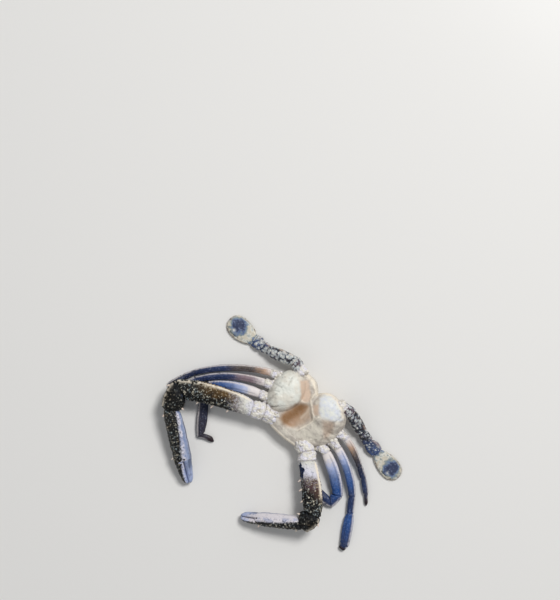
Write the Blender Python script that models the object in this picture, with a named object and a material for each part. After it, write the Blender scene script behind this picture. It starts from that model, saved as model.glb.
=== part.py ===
"""Blue swimming crab, cleaned, as a still life-size model that lies flat on its underside.

The shell, face and gills are off, so the thorax is open from above: two domed lobes beside a trough.
Round it are two claws with trimmed fingers, six walking legs and two swimming legs with paddles.
Each limb is a chain of named lengths. Neighbours meet in the plane that halves their angle.
The crab faces -Y, its left is +X, and it rests on Z = 0. Sizes are in millimetres up to MM.
"""
import math
import random
from collections import namedtuple
from copy import copy

import bmesh
import bpy
from mathutils import Matrix, Vector

MM = 0.001
GAP = 0.3
FLOOR = 0.0
# Middle of the thorax, seen from the middle of the whole model's outline
BODY_AT = Vector((-0.6, 41.6, 0.0))

# Thorax: seen from above, as angle from the crab's left (degrees) and radius, left half only
THORAX_MIDDLE = Vector((0.0, -4.0, 0.0))
THORAX_OUTLINE = (
    (-90, 26.3), (-74, 27.0), (-60, 28.6), (-38, 28.4), (-21, 31.0), (-4, 32.2),
    (10, 33.4), (25, 34.2), (44, 32.0), (60, 28.4), (74, 24.6), (90, 17.6),
)
THORAX_AROUND = 56
THORAX_RINGS = 28
RIM_HEIGHT = 8.5
# How the skin runs from the middle to the wall, and how upright and how rounded the wall is
THORAX_SPREAD = 0.8
WALL_FULLNESS = 7.0
WALL_ROUNDNESS = 2.2
# Most that a sharp fold of the grown wall may stand off, in gaps
WALL_MOST = 2.0
# Right lobe, left lobe and the left lobe's lower front: middle, radii and top
LOBES = (
    ((-22.5, -0.5), (15.5, 18.5), 22.8), ((17.5, 8.5), (17.0, 15.0), 22.4),
    ((20.0, -5.0), (15.5, 17.0), 19.0),
)
LOBE_STEEPNESS = 0.5
LOBE_FLATNESS = 1.6
TROUGH_HEIGHT = 15.0
PIT_MIDDLE = (-1.8, -9.3)
PIT_RADII = (9.0, 13.5)
PIT_DEPTH = 2.5
SHOULDER_HEIGHT = 16.0
SHOULDER_FROM = 8.0
SHOULDER_TO = 20.0

# Limb lengths: how far each end swells, and how finely each kind is divided (rings, sides)
SWELL_SHARPNESS = 2.6
SECTION_POWER = 2.3
DIVISIONS = {
    "coxa": (5, 12), "ischium": (5, 16), "claw_merus": (24, 20), "claw_carpus": (11, 20),
    "palm": (22, 20), "finger": (7, 10), "merus": (8, 12), "carpus": (5, 12),
    "propodus": (7, 12), "dactyl": (6, 8), "paddle": (12, 14),
}
PADDLE_WIDEST_AT = 0.56
PADDLE_THINS_BY = 0.25
PADDLE_BLUNTNESS = 2.6
END_CROWDING = 0.06
# Half of the slit between the fingers, and how far each finger's middle is off the hand's, as a share
FINGER_GAP = 0.5
FINGER_SHIFT = 0.25
SHARP_EDGE = 50

# name, length, heading (0 forwards, positive to the crab's left), pitch (up), fullest width and
# thickness, width and thickness where it ends, and bow (to the left of its heading)
Length = namedtuple("Length", "name long heading pitch full end bow", defaults=(0.0,))
Limb = namedtuple("Limb", "root size lengths")

LIMBS = {
    "claw_right": Limb((-16.7, -22.4, 10.0), (13.0, 12.0), (
        Length("coxa", 7.5, -73, 15.5, (13.2, 12.0), (11.5, 10.5)),
        Length("ischium", 9.4, -66, 9, (13.6, 12.4), (12.0, 11.0)),
        Length("merus", 56.9, -64.5, 2, (15.4, 13.0), (12.6, 11.0), -2.4),
        Length("carpus", 16.9, 14.5, -1.7, (17.4, 12.6), (11.8, 10.0), -1.4),
        Length("palm", 40.9, 52.5, -9, (14.2, 11.5), (13.6, 9.4)),
        Length("finger", 19.6, 53.2, -14, (10.9, 8.4), (7.3, 6.4)),
    )),
    "claw_left": Limb((16.3, -23.9, 10.0), (13.0, 12.0), (
        Length("coxa", 7.0, 67.7, 16.6, (13.2, 12.0), (12.0, 10.5)),
        Length("ischium", 6.6, 39, 9, (14.6, 12.0), (13.4, 11.0)),
        Length("merus", 41.2, 46, 5.6, (15.0, 12.6), (11.4, 11.0), 1.6),
        Length("carpus", 11.2, -9, -7.7, (15.8, 12.6), (10.2, 10.5), 1.2),
        Length("palm", 35.0, -53.7, -11.5, (10.8, 12.4), (9.0, 9.4)),
        Length("finger", 12.9, -54.4, -20, (8.0, 8.4), (6.2, 6.6)),
    )),
    "walking_leg_1_right": Limb((-28.7, -14.4, 9.0), (8.0, 8.0), (
        Length("coxa", 6.1, -76.4, 4.7, (8.0, 8.0), (6.6, 6.2)),
        Length("merus", 40.6, -58.2, -8.4, (8.0, 6.2), (5.6, 4.8), -2.2),
        Length("carpus", 10.0, 14.5, -4.6, (6.8, 5.0), (6.0, 4.4)),
        Length("propodus", 30.3, 35.7, -0.4, (8.3, 4.9), (4.8, 3.6)),
        Length("dactyl", 11.5, 104.4, -5, (4.2, 3.0), (0.9, 0.9), 0.8),
    )),
    "walking_leg_2_right": Limb((-31.8, -4.7, 9.0), (8.0, 8.0), (
        Length("coxa", 5.8, -69.5, 4.9, (8.0, 8.0), (6.0, 6.0)),
        Length("merus", 54.9, -51.5, -6.4, (5.6, 5.4), (4.4, 4.2), -4.0),
        Length("carpus", 16.0, -18.7, -2.5, (5.2, 4.8), (4.6, 4.0)),
        Length("propodus", 26.9, 32.9, -0.4, (6.4, 4.6), (4.0, 3.4)),
        Length("dactyl", 12.8, 34.8, -4.5, (3.4, 2.8), (0.8, 0.8)),
    )),
    "walking_leg_3_right": Limb((-32.8, 4.2, 9.0), (7.6, 7.6), (
        Length("coxa", 6.0, -73, 4.8, (7.6, 7.6), (5.6, 5.6)),
        Length("merus", 60.7, -49.4, -6, (5.2, 5.0), (4.2, 3.8), -3.8),
        Length("carpus", 9.0, -25.8, -3.2, (4.6, 4.2), (4.2, 3.8)),
        Length("propodus", 13.5, -19.9, -1.1, (5.4, 4.2), (4.4, 3.4)),
    )),
    "walking_leg_1_left": Limb((28.1, -16.1, 9.0), (8.0, 8.0), (
        Length("coxa", 5.9, 78.8, 4.9, (8.0, 8.0), (7.0, 6.4)),
        Length("merus", 36.2, 56.2, -9.4, (9.2, 6.6), (7.0, 5.0), 1.8),
        Length("carpus", 8.2, -6, -5, (8.0, 5.4), (6.4, 4.6)),
        Length("propodus", 22.6, -85.5, -0.8, (8.4, 5.0), (6.0, 4.0)),
    )),
    "walking_leg_2_left": Limb((32.6, -7.6, 9.0), (8.0, 8.0), (
        Length("coxa", 6.3, 80.2, 4.5, (8.0, 8.0), (6.2, 6.0)),
        Length("merus", 40.6, 57.3, -8.5, (6.6, 5.8), (5.0, 4.6), 2.4),
        Length("carpus", 13.5, 34, -2.5, (5.8, 5.0), (5.0, 4.2)),
        Length("propodus", 25.5, 30.2, -0.9, (8.2, 4.8), (6.6, 3.6)),
        Length("dactyl", 4.2, 2, -6, (5.6, 3.2), (4.0, 2.4)),
    )),
    "walking_leg_3_left": Limb((33.3, 1.2, 9.0), (7.6, 7.6), (
        Length("coxa", 5.9, 91.6, 4.9, (7.6, 7.6), (5.4, 5.4)),
        Length("merus", 25.3, 65.8, -12.6, (5.4, 5.0), (4.2, 3.8), 0.8),
        Length("carpus", 10.2, 59.1, -6.8, (5.0, 4.2), (4.0, 3.4)),
        Length("propodus", 12.8, 49.5, -1.8, (4.6, 3.8), (3.2, 2.8)),
        Length("dactyl", 9.3, 41, -6, (3.0, 2.4), (0.8, 0.7)),
    )),
    "swimming_leg_right": Limb((-19.2, 17.6, 12.0), (9.0, 9.0), (
        Length("coxa", 11.5, -106.8, -5, (9.4, 9.0), (7.6, 7.0)),
        Length("merus", 22.7, -72.2, -14.1, (9.8, 7.4), (7.0, 5.6)),
        Length("carpus", 5.9, -84.6, -14.6, (8.4, 6.4), (7.2, 5.0)),
        Length("propodus", 8.7, -83.7, -9.9, (10.2, 4.6), (9.0, 2.8)),
        Length("paddle", 25.4, -88.8, -3.1, (16.4, 1.7), (2.4, 1.2)),
    )),
    "swimming_leg_left": Limb((17.2, 18.0, 12.0), (9.0, 9.0), (
        Length("coxa", 12.4, 93, -5.1, (9.4, 9.0), (7.6, 7.0)),
        Length("merus", 18.6, 70.5, -17.0, (9.6, 7.4), (7.0, 5.6)),
        Length("carpus", 9.1, 72.8, -9.5, (9.0, 6.4), (7.4, 5.0)),
        Length("propodus", 11.4, 79.7, -7.5, (11.0, 4.6), (8.6, 2.8)),
        Length("paddle", 25.6, 80.3, -3.0, (15.4, 1.7), (2.4, 1.2)),
    )),
}
# The movable finger lies on the side of the claw that faces the body
MOVABLE_SIDE = {"claw_right": 1, "claw_left": -1}

# Spines: length of limb, how far along, angle round it (0 left of its heading, 90 up), reach
SPINE_RADIUS = 1.1
SPINE_TIP = 0.25
SPINE_SIDES = 6
SPINE_LEAN = 0.45
SPINE_SUNK = 1.4
SPINES = (
    ("claw_right", "merus", 0.33, 6, 2.8), ("claw_right", "merus", 0.57, 4, 3.0),
    ("claw_right", "merus", 0.80, 8, 2.4), ("claw_right", "carpus", 0.30, 165, 2.4),
    ("claw_right", "carpus", 0.75, 12, 2.0), ("claw_right", "palm", 0.12, 165, 2.0),
    ("claw_right", "palm", 0.93, 168, 2.4),
    ("claw_left", "merus", 0.38, 174, 3.0), ("claw_left", "merus", 0.57, 176, 2.8),
    ("claw_left", "merus", 0.80, 172, 2.4), ("claw_left", "carpus", 0.30, 15, 2.4),
    ("claw_left", "carpus", 0.75, 168, 2.0), ("claw_left", "palm", 0.12, 15, 2.0),
    ("claw_left", "palm", 0.93, 12, 2.2),
)

# Grains: pimples raised in the skin of the claws, on the side away from the body
GRAIN_RISE = (0.25, 0.65)
GRAIN_SEED = 11
GRAIN_FROM = -0.5
# How far round towards the smooth side the grains reach, as a cosine
GRAINED = {"merus": 2.0, "carpus": 0.6, "palm": 0.05}

# Colour, roughness
FINISHES = {
    "thorax": ((0.86, 0.82, 0.72), 0.45),
    "coxa": ((0.80, 0.76, 0.70), 0.50),
    "ischium": ((0.72, 0.72, 0.74), 0.50),
    "claw": ((0.09, 0.11, 0.13), 0.55),
    "palm": ((0.30, 0.34, 0.52), 0.50),
    "leg": ((0.16, 0.22, 0.48), 0.45),
    "swimming": ((0.22, 0.25, 0.32), 0.50),
    "paddle": ((0.45, 0.46, 0.48), 0.50),
}
FINISH_OF = {
    "merus": "leg", "carpus": "leg", "propodus": "leg", "dactyl": "leg", "finger": "palm",
}


def clear_scene():
    for item in list(bpy.data.objects):
        bpy.data.objects.remove(item)


def new_collection(name):
    collection = bpy.data.collections.new(name)
    bpy.context.scene.collection.children.link(collection)
    return collection


def new_finish(name):
    colour, roughness = FINISHES[name]
    finish = bpy.data.materials.new(name)
    finish.use_nodes = True
    shader = finish.node_tree.nodes["Principled BSDF"]
    shader.inputs["Base Color"].default_value = (*colour, 1.0)
    shader.inputs["Roughness"].default_value = roughness
    return finish


def new_object(name, shape, finish, collection):
    """Turn a finished bmesh, in millimetres round the thorax, into a placed object in metres."""
    bmesh.ops.translate(shape, verts=shape.verts, vec=BODY_AT)
    bmesh.ops.scale(shape, verts=shape.verts, vec=(MM, MM, MM))
    mesh = bpy.data.meshes.new(name)
    shape.to_mesh(mesh)
    shape.free()
    mesh.shade_smooth()
    mesh.set_sharp_from_angle(angle=math.radians(SHARP_EDGE))
    item = bpy.data.objects.new(name, mesh)
    if finish:
        mesh.materials.append(finish)
    collection.objects.link(item)
    return item


def smooth_between(points, at):
    """Read a smooth curve through (place, value) points."""
    for number in range(len(points) - 1):
        (start, low), (end, high) = points[number], points[number + 1]
        if at <= end:
            break
    before = points[max(number - 1, 0)]
    after = points[min(number + 2, len(points) - 1)]
    slope_in = (high - before[1]) / (end - before[0]) * (end - start)
    slope_out = (after[1] - low) / (after[0] - start) * (end - start)
    t = min(max((at - start) / (end - start), 0.0), 1.0)
    return (
        low * (2 * t**3 - 3 * t**2 + 1) + slope_in * (t**3 - 2 * t**2 + t)
        + high * (3 * t**2 - 2 * t**3) + slope_out * (t**3 - t**2)
    )


def thorax_radius(angle):
    """Both halves of the outline are alike."""
    degrees = math.degrees(math.asin(math.sin(angle)))
    return smooth_between(THORAX_OUTLINE, degrees)


def hollow_or_dome(x, y, middle, radii, power, flatness=1.0):
    reach = ((x - middle[0]) / radii[0]) ** 2 + ((y - middle[1]) / radii[1]) ** 2
    return max(0.0, 1.0 - reach**flatness) ** power


def thorax_top(x, y):
    """Height of the open thorax: a trough, a shoulder in front, a lobe on each side, a pit."""
    shoulder = min(max((abs(x) - SHOULDER_FROM) / (SHOULDER_TO - SHOULDER_FROM), 0.0), 1.0)
    ground = TROUGH_HEIGHT + (SHOULDER_HEIGHT - TROUGH_HEIGHT) * shoulder
    pit = PIT_DEPTH * hollow_or_dome(x, y, PIT_MIDDLE, PIT_RADII, 1.0)
    rises = [
        (top - ground) * hollow_or_dome(x, y, middle, radii, LOBE_STEEPNESS, LOBE_FLATNESS)
        for middle, radii, top in LOBES
    ]
    return ground + max(rises) - pit


def thorax_shape():
    """A sphere is pressed into the outline: its top half to the lobes, its lower half flat."""
    shape = bmesh.new()
    bmesh.ops.create_uvsphere(
        shape, u_segments=THORAX_AROUND, v_segments=THORAX_RINGS, radius=1.0
    )
    for vert in shape.verts:
        polar = math.acos(min(max(abs(vert.co.z), 0.0), 1.0)) / (math.pi / 2)
        out = polar**THORAX_SPREAD
        angle = math.atan2(vert.co.y, vert.co.x)
        radius = thorax_radius(angle) * out
        place = THORAX_MIDDLE + Vector((math.cos(angle), math.sin(angle), 0.0)) * radius
        fullness = (1.0 - out**WALL_FULLNESS) ** (1.0 / WALL_ROUNDNESS)
        if vert.co.z >= 0.0:
            top = thorax_top(place.x, place.y)
            place.z = RIM_HEIGHT + (top - RIM_HEIGHT) * fullness
        else:
            place.z = RIM_HEIGHT * (1.0 - fullness)
        vert.co = place
    bmesh.ops.triangulate(shape, faces=shape.faces)
    return shape


def wall_shape():
    """The thorax grown by the gap all round, which cuts the root of each limb to the wall."""
    shape = thorax_shape()
    shape.normal_update()
    moves = [vert.normal * GAP * min(vert.calc_shell_factor(), WALL_MOST) for vert in shape.verts]
    for vert, move in zip(shape.verts, moves):
        vert.co += move
    return shape


def heading_vector(length):
    flat = math.cos(math.radians(length.pitch))
    turn = math.radians(length.heading)
    return Vector((math.sin(turn) * flat, -math.cos(turn) * flat, math.sin(math.radians(length.pitch))))


def chain(limb):
    """Joint places, the plane at each joint and the size there."""
    joints = [Vector(limb.root)]
    for length in limb.lengths:
        joints.append(joints[-1] + heading_vector(length) * length.long)
    ways = [heading_vector(length) for length in limb.lengths]
    planes = [ways[0]]
    planes += [(a + b).normalized() for a, b in zip(ways, ways[1:])]
    planes.append(ways[-1])
    sizes = [limb.size] + [length.end for length in limb.lengths]
    return joints, planes, sizes


def swell(along, fullest=0.5):
    """0 where a length begins and ends, 1 where it is fullest."""
    if along < fullest:
        return 1.0 - ((fullest - along) / fullest) ** SWELL_SHARPNESS
    return 1.0 - ((along - fullest) / (1.0 - fullest)) ** SWELL_SHARPNESS


def size_along(length, start_size, along):
    """Width and thickness of a length at a fraction of it."""
    if length.name == "paddle":
        thick = start_size[1] + (length.full[1] - start_size[1]) * min(along / PADDLE_THINS_BY, 1.0)
        if along < PADDLE_WIDEST_AT:
            rise = math.sin(along / PADDLE_WIDEST_AT * math.pi / 2)
            return start_size[0] + (length.full[0] - start_size[0]) * rise, thick
        fall = (along - PADDLE_WIDEST_AT) / (1.0 - PADDLE_WIDEST_AT)
        round_tip = length.full[0] * math.sqrt(1.0 - fall**PADDLE_BLUNTNESS)
        return max(round_tip, length.end[0]), thick
    result = []
    for begin, full, end in zip(start_size, length.full, length.end):
        plain = begin + (end - begin) * along
        result.append(plain + (full - plain) * swell(along))
    return result


class Tube:
    """One length of a limb: it knows the point of its skin at any fraction and angle."""

    def __init__(self, length, start, end, start_plane, end_plane, start_size, gaps=(0.5, 0.5)):
        self.length = length
        self.start = start
        self.axis = (end - start).normalized()
        self.long = (end - start).length
        self.side = Vector((0.0, 0.0, 1.0)).cross(self.axis).normalized()
        self.up = self.axis.cross(self.side)
        self.planes = (start_plane, end_plane)
        self.size = start_size
        self.gaps = gaps

    def place(self, along, aside, above):
        """The point at a fraction along, shifted so that both ends lie in their joint planes."""
        aside += self.length.bow * 4.0 * along * (1.0 - along)
        offset = self.side * aside + self.up * above
        first, last = self.planes
        begin = (GAP * self.gaps[0] - offset.dot(first)) / self.axis.dot(first)
        finish = self.long - (GAP * self.gaps[1] + offset.dot(last)) / self.axis.dot(last)
        point = self.start + offset + self.axis * (begin + (finish - begin) * along)
        point.z = max(point.z, FLOOR)
        return point

    def skin(self, along, angle, side_shift=0.0, share=1.0):
        wide, thick = size_along(self.length, self.size, along)
        across = math.copysign(abs(math.cos(angle)) ** (2.0 / SECTION_POWER), math.cos(angle))
        above = math.copysign(abs(math.sin(angle)) ** (2.0 / SECTION_POWER), math.sin(angle))
        middle = side_shift * wide
        return self.place(along, middle + across * wide * share / 2.0, above * thick / 2.0)

    def ring(self, along, sides, side_shift=0.0, share=1.0):
        turns = [2.0 * math.pi * (number + 0.5) / sides for number in range(sides)]
        return [self.skin(along, turn, side_shift, share) for turn in turns]

    def raise_grains(self, places, rings, draw, smooth_side):
        """Push every other point of the inner rings out a little, but not on the smooth side."""
        reach = GRAINED[self.length.name]
        for row in range(2, len(places) - 2):
            middle = self.place(places[row], 0.0, 0.0)
            for column in range(row % 2, len(rings[row]), 2):
                out = (rings[row][column] - middle).normalized()
                rise = draw.uniform(*GRAIN_RISE)
                if out.dot(self.side) * smooth_side < reach and out.z > GRAIN_FROM:
                    rings[row][column] = rings[row][column] + out * rise


def loft(rings):
    """Join rings of equal count into one closed body, with a flat face at each end."""
    shape = bmesh.new()
    loops = [[shape.verts.new(point) for point in ring] for ring in rings]
    for lower, upper in zip(loops, loops[1:]):
        count = len(lower)
        for number in range(count):
            after = (number + 1) % count
            shape.faces.new((lower[number], lower[after], upper[after], upper[number]))
    shape.faces.new(list(reversed(loops[0])))
    shape.faces.new(loops[-1])
    bmesh.ops.recalc_face_normals(shape, faces=shape.faces)
    return shape


def ring_places(name, rings):
    """Fractions along a length: closer together at the ends, and most at a paddle's tip."""
    if name == "paddle":
        return [math.sin(math.pi / 2 * number / rings) for number in range(rings + 1)]
    places = []
    for number in range(rings + 1):
        even = number / rings
        places.append(even - END_CROWDING * math.sin(2.0 * math.pi * even))
    return places


def make_spine(tube, along, degrees, reach):
    """A tapered spine, rooted in the skin and leaning towards the limb's end."""
    angle = math.radians(degrees)
    root = tube.skin(along, angle)
    out = (root - tube.place(along, 0.0, 0.0)).normalized()
    way = (out + tube.axis * SPINE_LEAN).normalized()
    shape = bmesh.new()
    long = reach + SPINE_SUNK
    turn = way.to_track_quat("Z", "Y").to_matrix().to_4x4()
    bmesh.ops.create_cone(
        shape, cap_ends=True, segments=SPINE_SIDES, radius1=SPINE_RADIUS, radius2=SPINE_TIP,
        depth=long,
        matrix=Matrix.Translation(root + way * (long / 2.0 - SPINE_SUNK)) @ turn,
    )
    return shape


def keep_largest(mesh):
    """Drop any loose scrap that a union leaves."""
    shape = bmesh.new()
    shape.from_mesh(mesh)
    left = set(shape.verts)
    groups = []
    while left:
        group = [left.pop()]
        for vert in group:
            for edge in vert.link_edges:
                other = edge.other_vert(vert)
                if other in left:
                    left.discard(other)
                    group.append(other)
        groups.append(group)
    groups.sort(key=len)
    for group in groups[:-1]:
        bmesh.ops.delete(shape, geom=group, context="VERTS")
    shape.to_mesh(mesh)
    shape.free()


def join_spines(item, spines, cutters):
    """One Boolean union of the spines with the length that carries them, applied."""
    group = bpy.data.collections.new(item.name + "_spines")
    cutters.children.link(group)
    for number, shape in enumerate(spines):
        new_object(f"{item.name}_spine_{number}", shape, None, group)
    union = item.modifiers.new("spines", "BOOLEAN")
    union.operation = "UNION"
    union.operand_type = "COLLECTION"
    union.collection = group
    viewed = item.evaluated_get(bpy.context.evaluated_depsgraph_get())
    joined = bpy.data.meshes.new_from_object(viewed)
    item.modifiers.clear()
    item.data = joined
    keep_largest(joined)
    for spine in list(group.objects):
        bpy.data.objects.remove(spine)
    bpy.data.collections.remove(group)


def finish_of(limb_name, length_name):
    if length_name in FINISHES:
        return length_name
    if limb_name.startswith("claw"):
        return "claw"
    if limb_name.startswith("swimming"):
        return "swimming"
    return FINISH_OF[length_name]


def rings_of(limb_name, length_name):
    kind = f"claw_{length_name}" if limb_name.startswith("claw") else length_name
    rings, sides = DIVISIONS.get(kind, DIVISIONS[length_name])
    return ring_places(length_name, rings), sides


def grained_rings(tube, limb_name, draw):
    places, sides = rings_of(limb_name, tube.length.name)
    rings = [tube.ring(along, sides) for along in places]
    if limb_name in MOVABLE_SIDE and tube.length.name in GRAINED:
        tube.raise_grains(places, rings, draw, MOVABLE_SIDE[limb_name])
    return rings


def palm_with_finger(rings, finger, movable_side):
    """The palm runs on into the fixed finger, which takes the outer half of the width."""
    sides = len(rings[0])
    share = 0.5 - FINGER_GAP / finger.length.full[0]
    shift = -movable_side * FINGER_SHIFT
    rings += [finger.ring(along, sides, shift, share) for along in rings_of("claw", "finger")[0]]
    return loft(rings)


def movable_finger(finger, movable_side):
    places, sides = rings_of("claw", "finger")
    share = 0.5 - FINGER_GAP / finger.length.full[0]
    shift = movable_side * FINGER_SHIFT
    return loft([finger.ring(along, sides, shift, share) for along in places])


def make_limb(limb_name, limb, finishes, collection, cutters, wall, draw):
    joints, planes, sizes = chain(limb)
    tubes = []
    for number, length in enumerate(limb.lengths):
        gaps = {"finger": (2.0, 0.0), "palm": (0.5, 0.0)}.get(length.name, (0.5, 0.5))
        tubes.append(Tube(
            length, joints[number], joints[number + 1], planes[number], planes[number + 1],
            sizes[number], gaps,
        ))
    for number, (length, tube) in enumerate(zip(limb.lengths, tubes)):
        if length.name == "palm":
            fixed = copy(tubes[number + 1])
            fixed.gaps = (0.5, 0.0)
            rings = grained_rings(tube, limb_name, draw)
            shape = palm_with_finger(rings, fixed, MOVABLE_SIDE[limb_name])
        elif length.name == "finger":
            shape = movable_finger(tube, MOVABLE_SIDE[limb_name])
        else:
            shape = loft(grained_rings(tube, limb_name, draw))
        finish = finishes[finish_of(limb_name, length.name)]
        item = new_object(f"{limb_name}_{length.name}", shape, finish, collection)
        if length.name == "coxa":
            cut = item.modifiers.new("thorax wall", "BOOLEAN")
            cut.operation = "DIFFERENCE"
            cut.object = wall
        spines = [
            make_spine(tube, along, degrees, reach)
            for owner, part, along, degrees, reach in SPINES
            if owner == limb_name and part == length.name
        ]
        if spines:
            join_spines(item, spines, cutters)


def main():
    clear_scene()
    crab = new_collection("blue swimming crab")
    cutters = new_collection("cutters")
    finishes = {name: new_finish(name) for name in FINISHES}
    new_object("thorax", thorax_shape(), finishes["thorax"], crab)
    wall = new_object("thorax_wall", wall_shape(), None, cutters)
    wall.hide_render = True
    wall.display_type = "WIRE"
    draw = random.Random(GRAIN_SEED)
    for limb_name, limb in LIMBS.items():
        make_limb(limb_name, limb, finishes, crab, cutters, wall, draw)


main()
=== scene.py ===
"""Looks of a cleaned blue swimming crab, life size, built round its fixed solids.

Every length of limb is a sphere pressed into a bent, mitred tube. Grains, grooves, spines and
fringes are real relief. Marks on the points, such as grain or reach, steer the colours.
Lengths are in millimetres until a mesh is written; the crab faces -Y and its left is +X.
"""
import math
import random
from collections import namedtuple

import bpy
import numpy as np
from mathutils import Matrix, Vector, kdtree


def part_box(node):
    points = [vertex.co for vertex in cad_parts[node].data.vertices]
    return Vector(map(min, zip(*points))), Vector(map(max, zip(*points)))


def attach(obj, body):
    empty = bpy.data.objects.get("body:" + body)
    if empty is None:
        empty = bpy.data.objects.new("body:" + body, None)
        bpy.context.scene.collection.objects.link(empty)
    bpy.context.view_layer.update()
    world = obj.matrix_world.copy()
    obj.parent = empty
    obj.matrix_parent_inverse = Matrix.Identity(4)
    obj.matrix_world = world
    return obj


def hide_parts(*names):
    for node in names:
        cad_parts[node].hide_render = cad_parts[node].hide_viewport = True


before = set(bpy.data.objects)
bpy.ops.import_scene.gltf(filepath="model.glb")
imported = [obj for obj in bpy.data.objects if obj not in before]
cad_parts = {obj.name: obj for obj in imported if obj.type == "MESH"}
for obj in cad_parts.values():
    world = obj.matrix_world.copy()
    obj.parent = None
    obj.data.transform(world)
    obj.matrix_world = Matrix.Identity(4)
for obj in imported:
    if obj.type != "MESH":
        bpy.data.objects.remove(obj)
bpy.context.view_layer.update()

bl_info = {
    "name": "Cleaned blue swimming crab",
    "version": (1, 0, 0),
    "blender": (4, 5, 0),
    "location": "View3D > Sidebar > Crab",
    "description": "Dresses the solids of a cleaned blue swimming crab",
    "category": "Add Mesh",
}

MM = 0.001
GAP = 0.3

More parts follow.
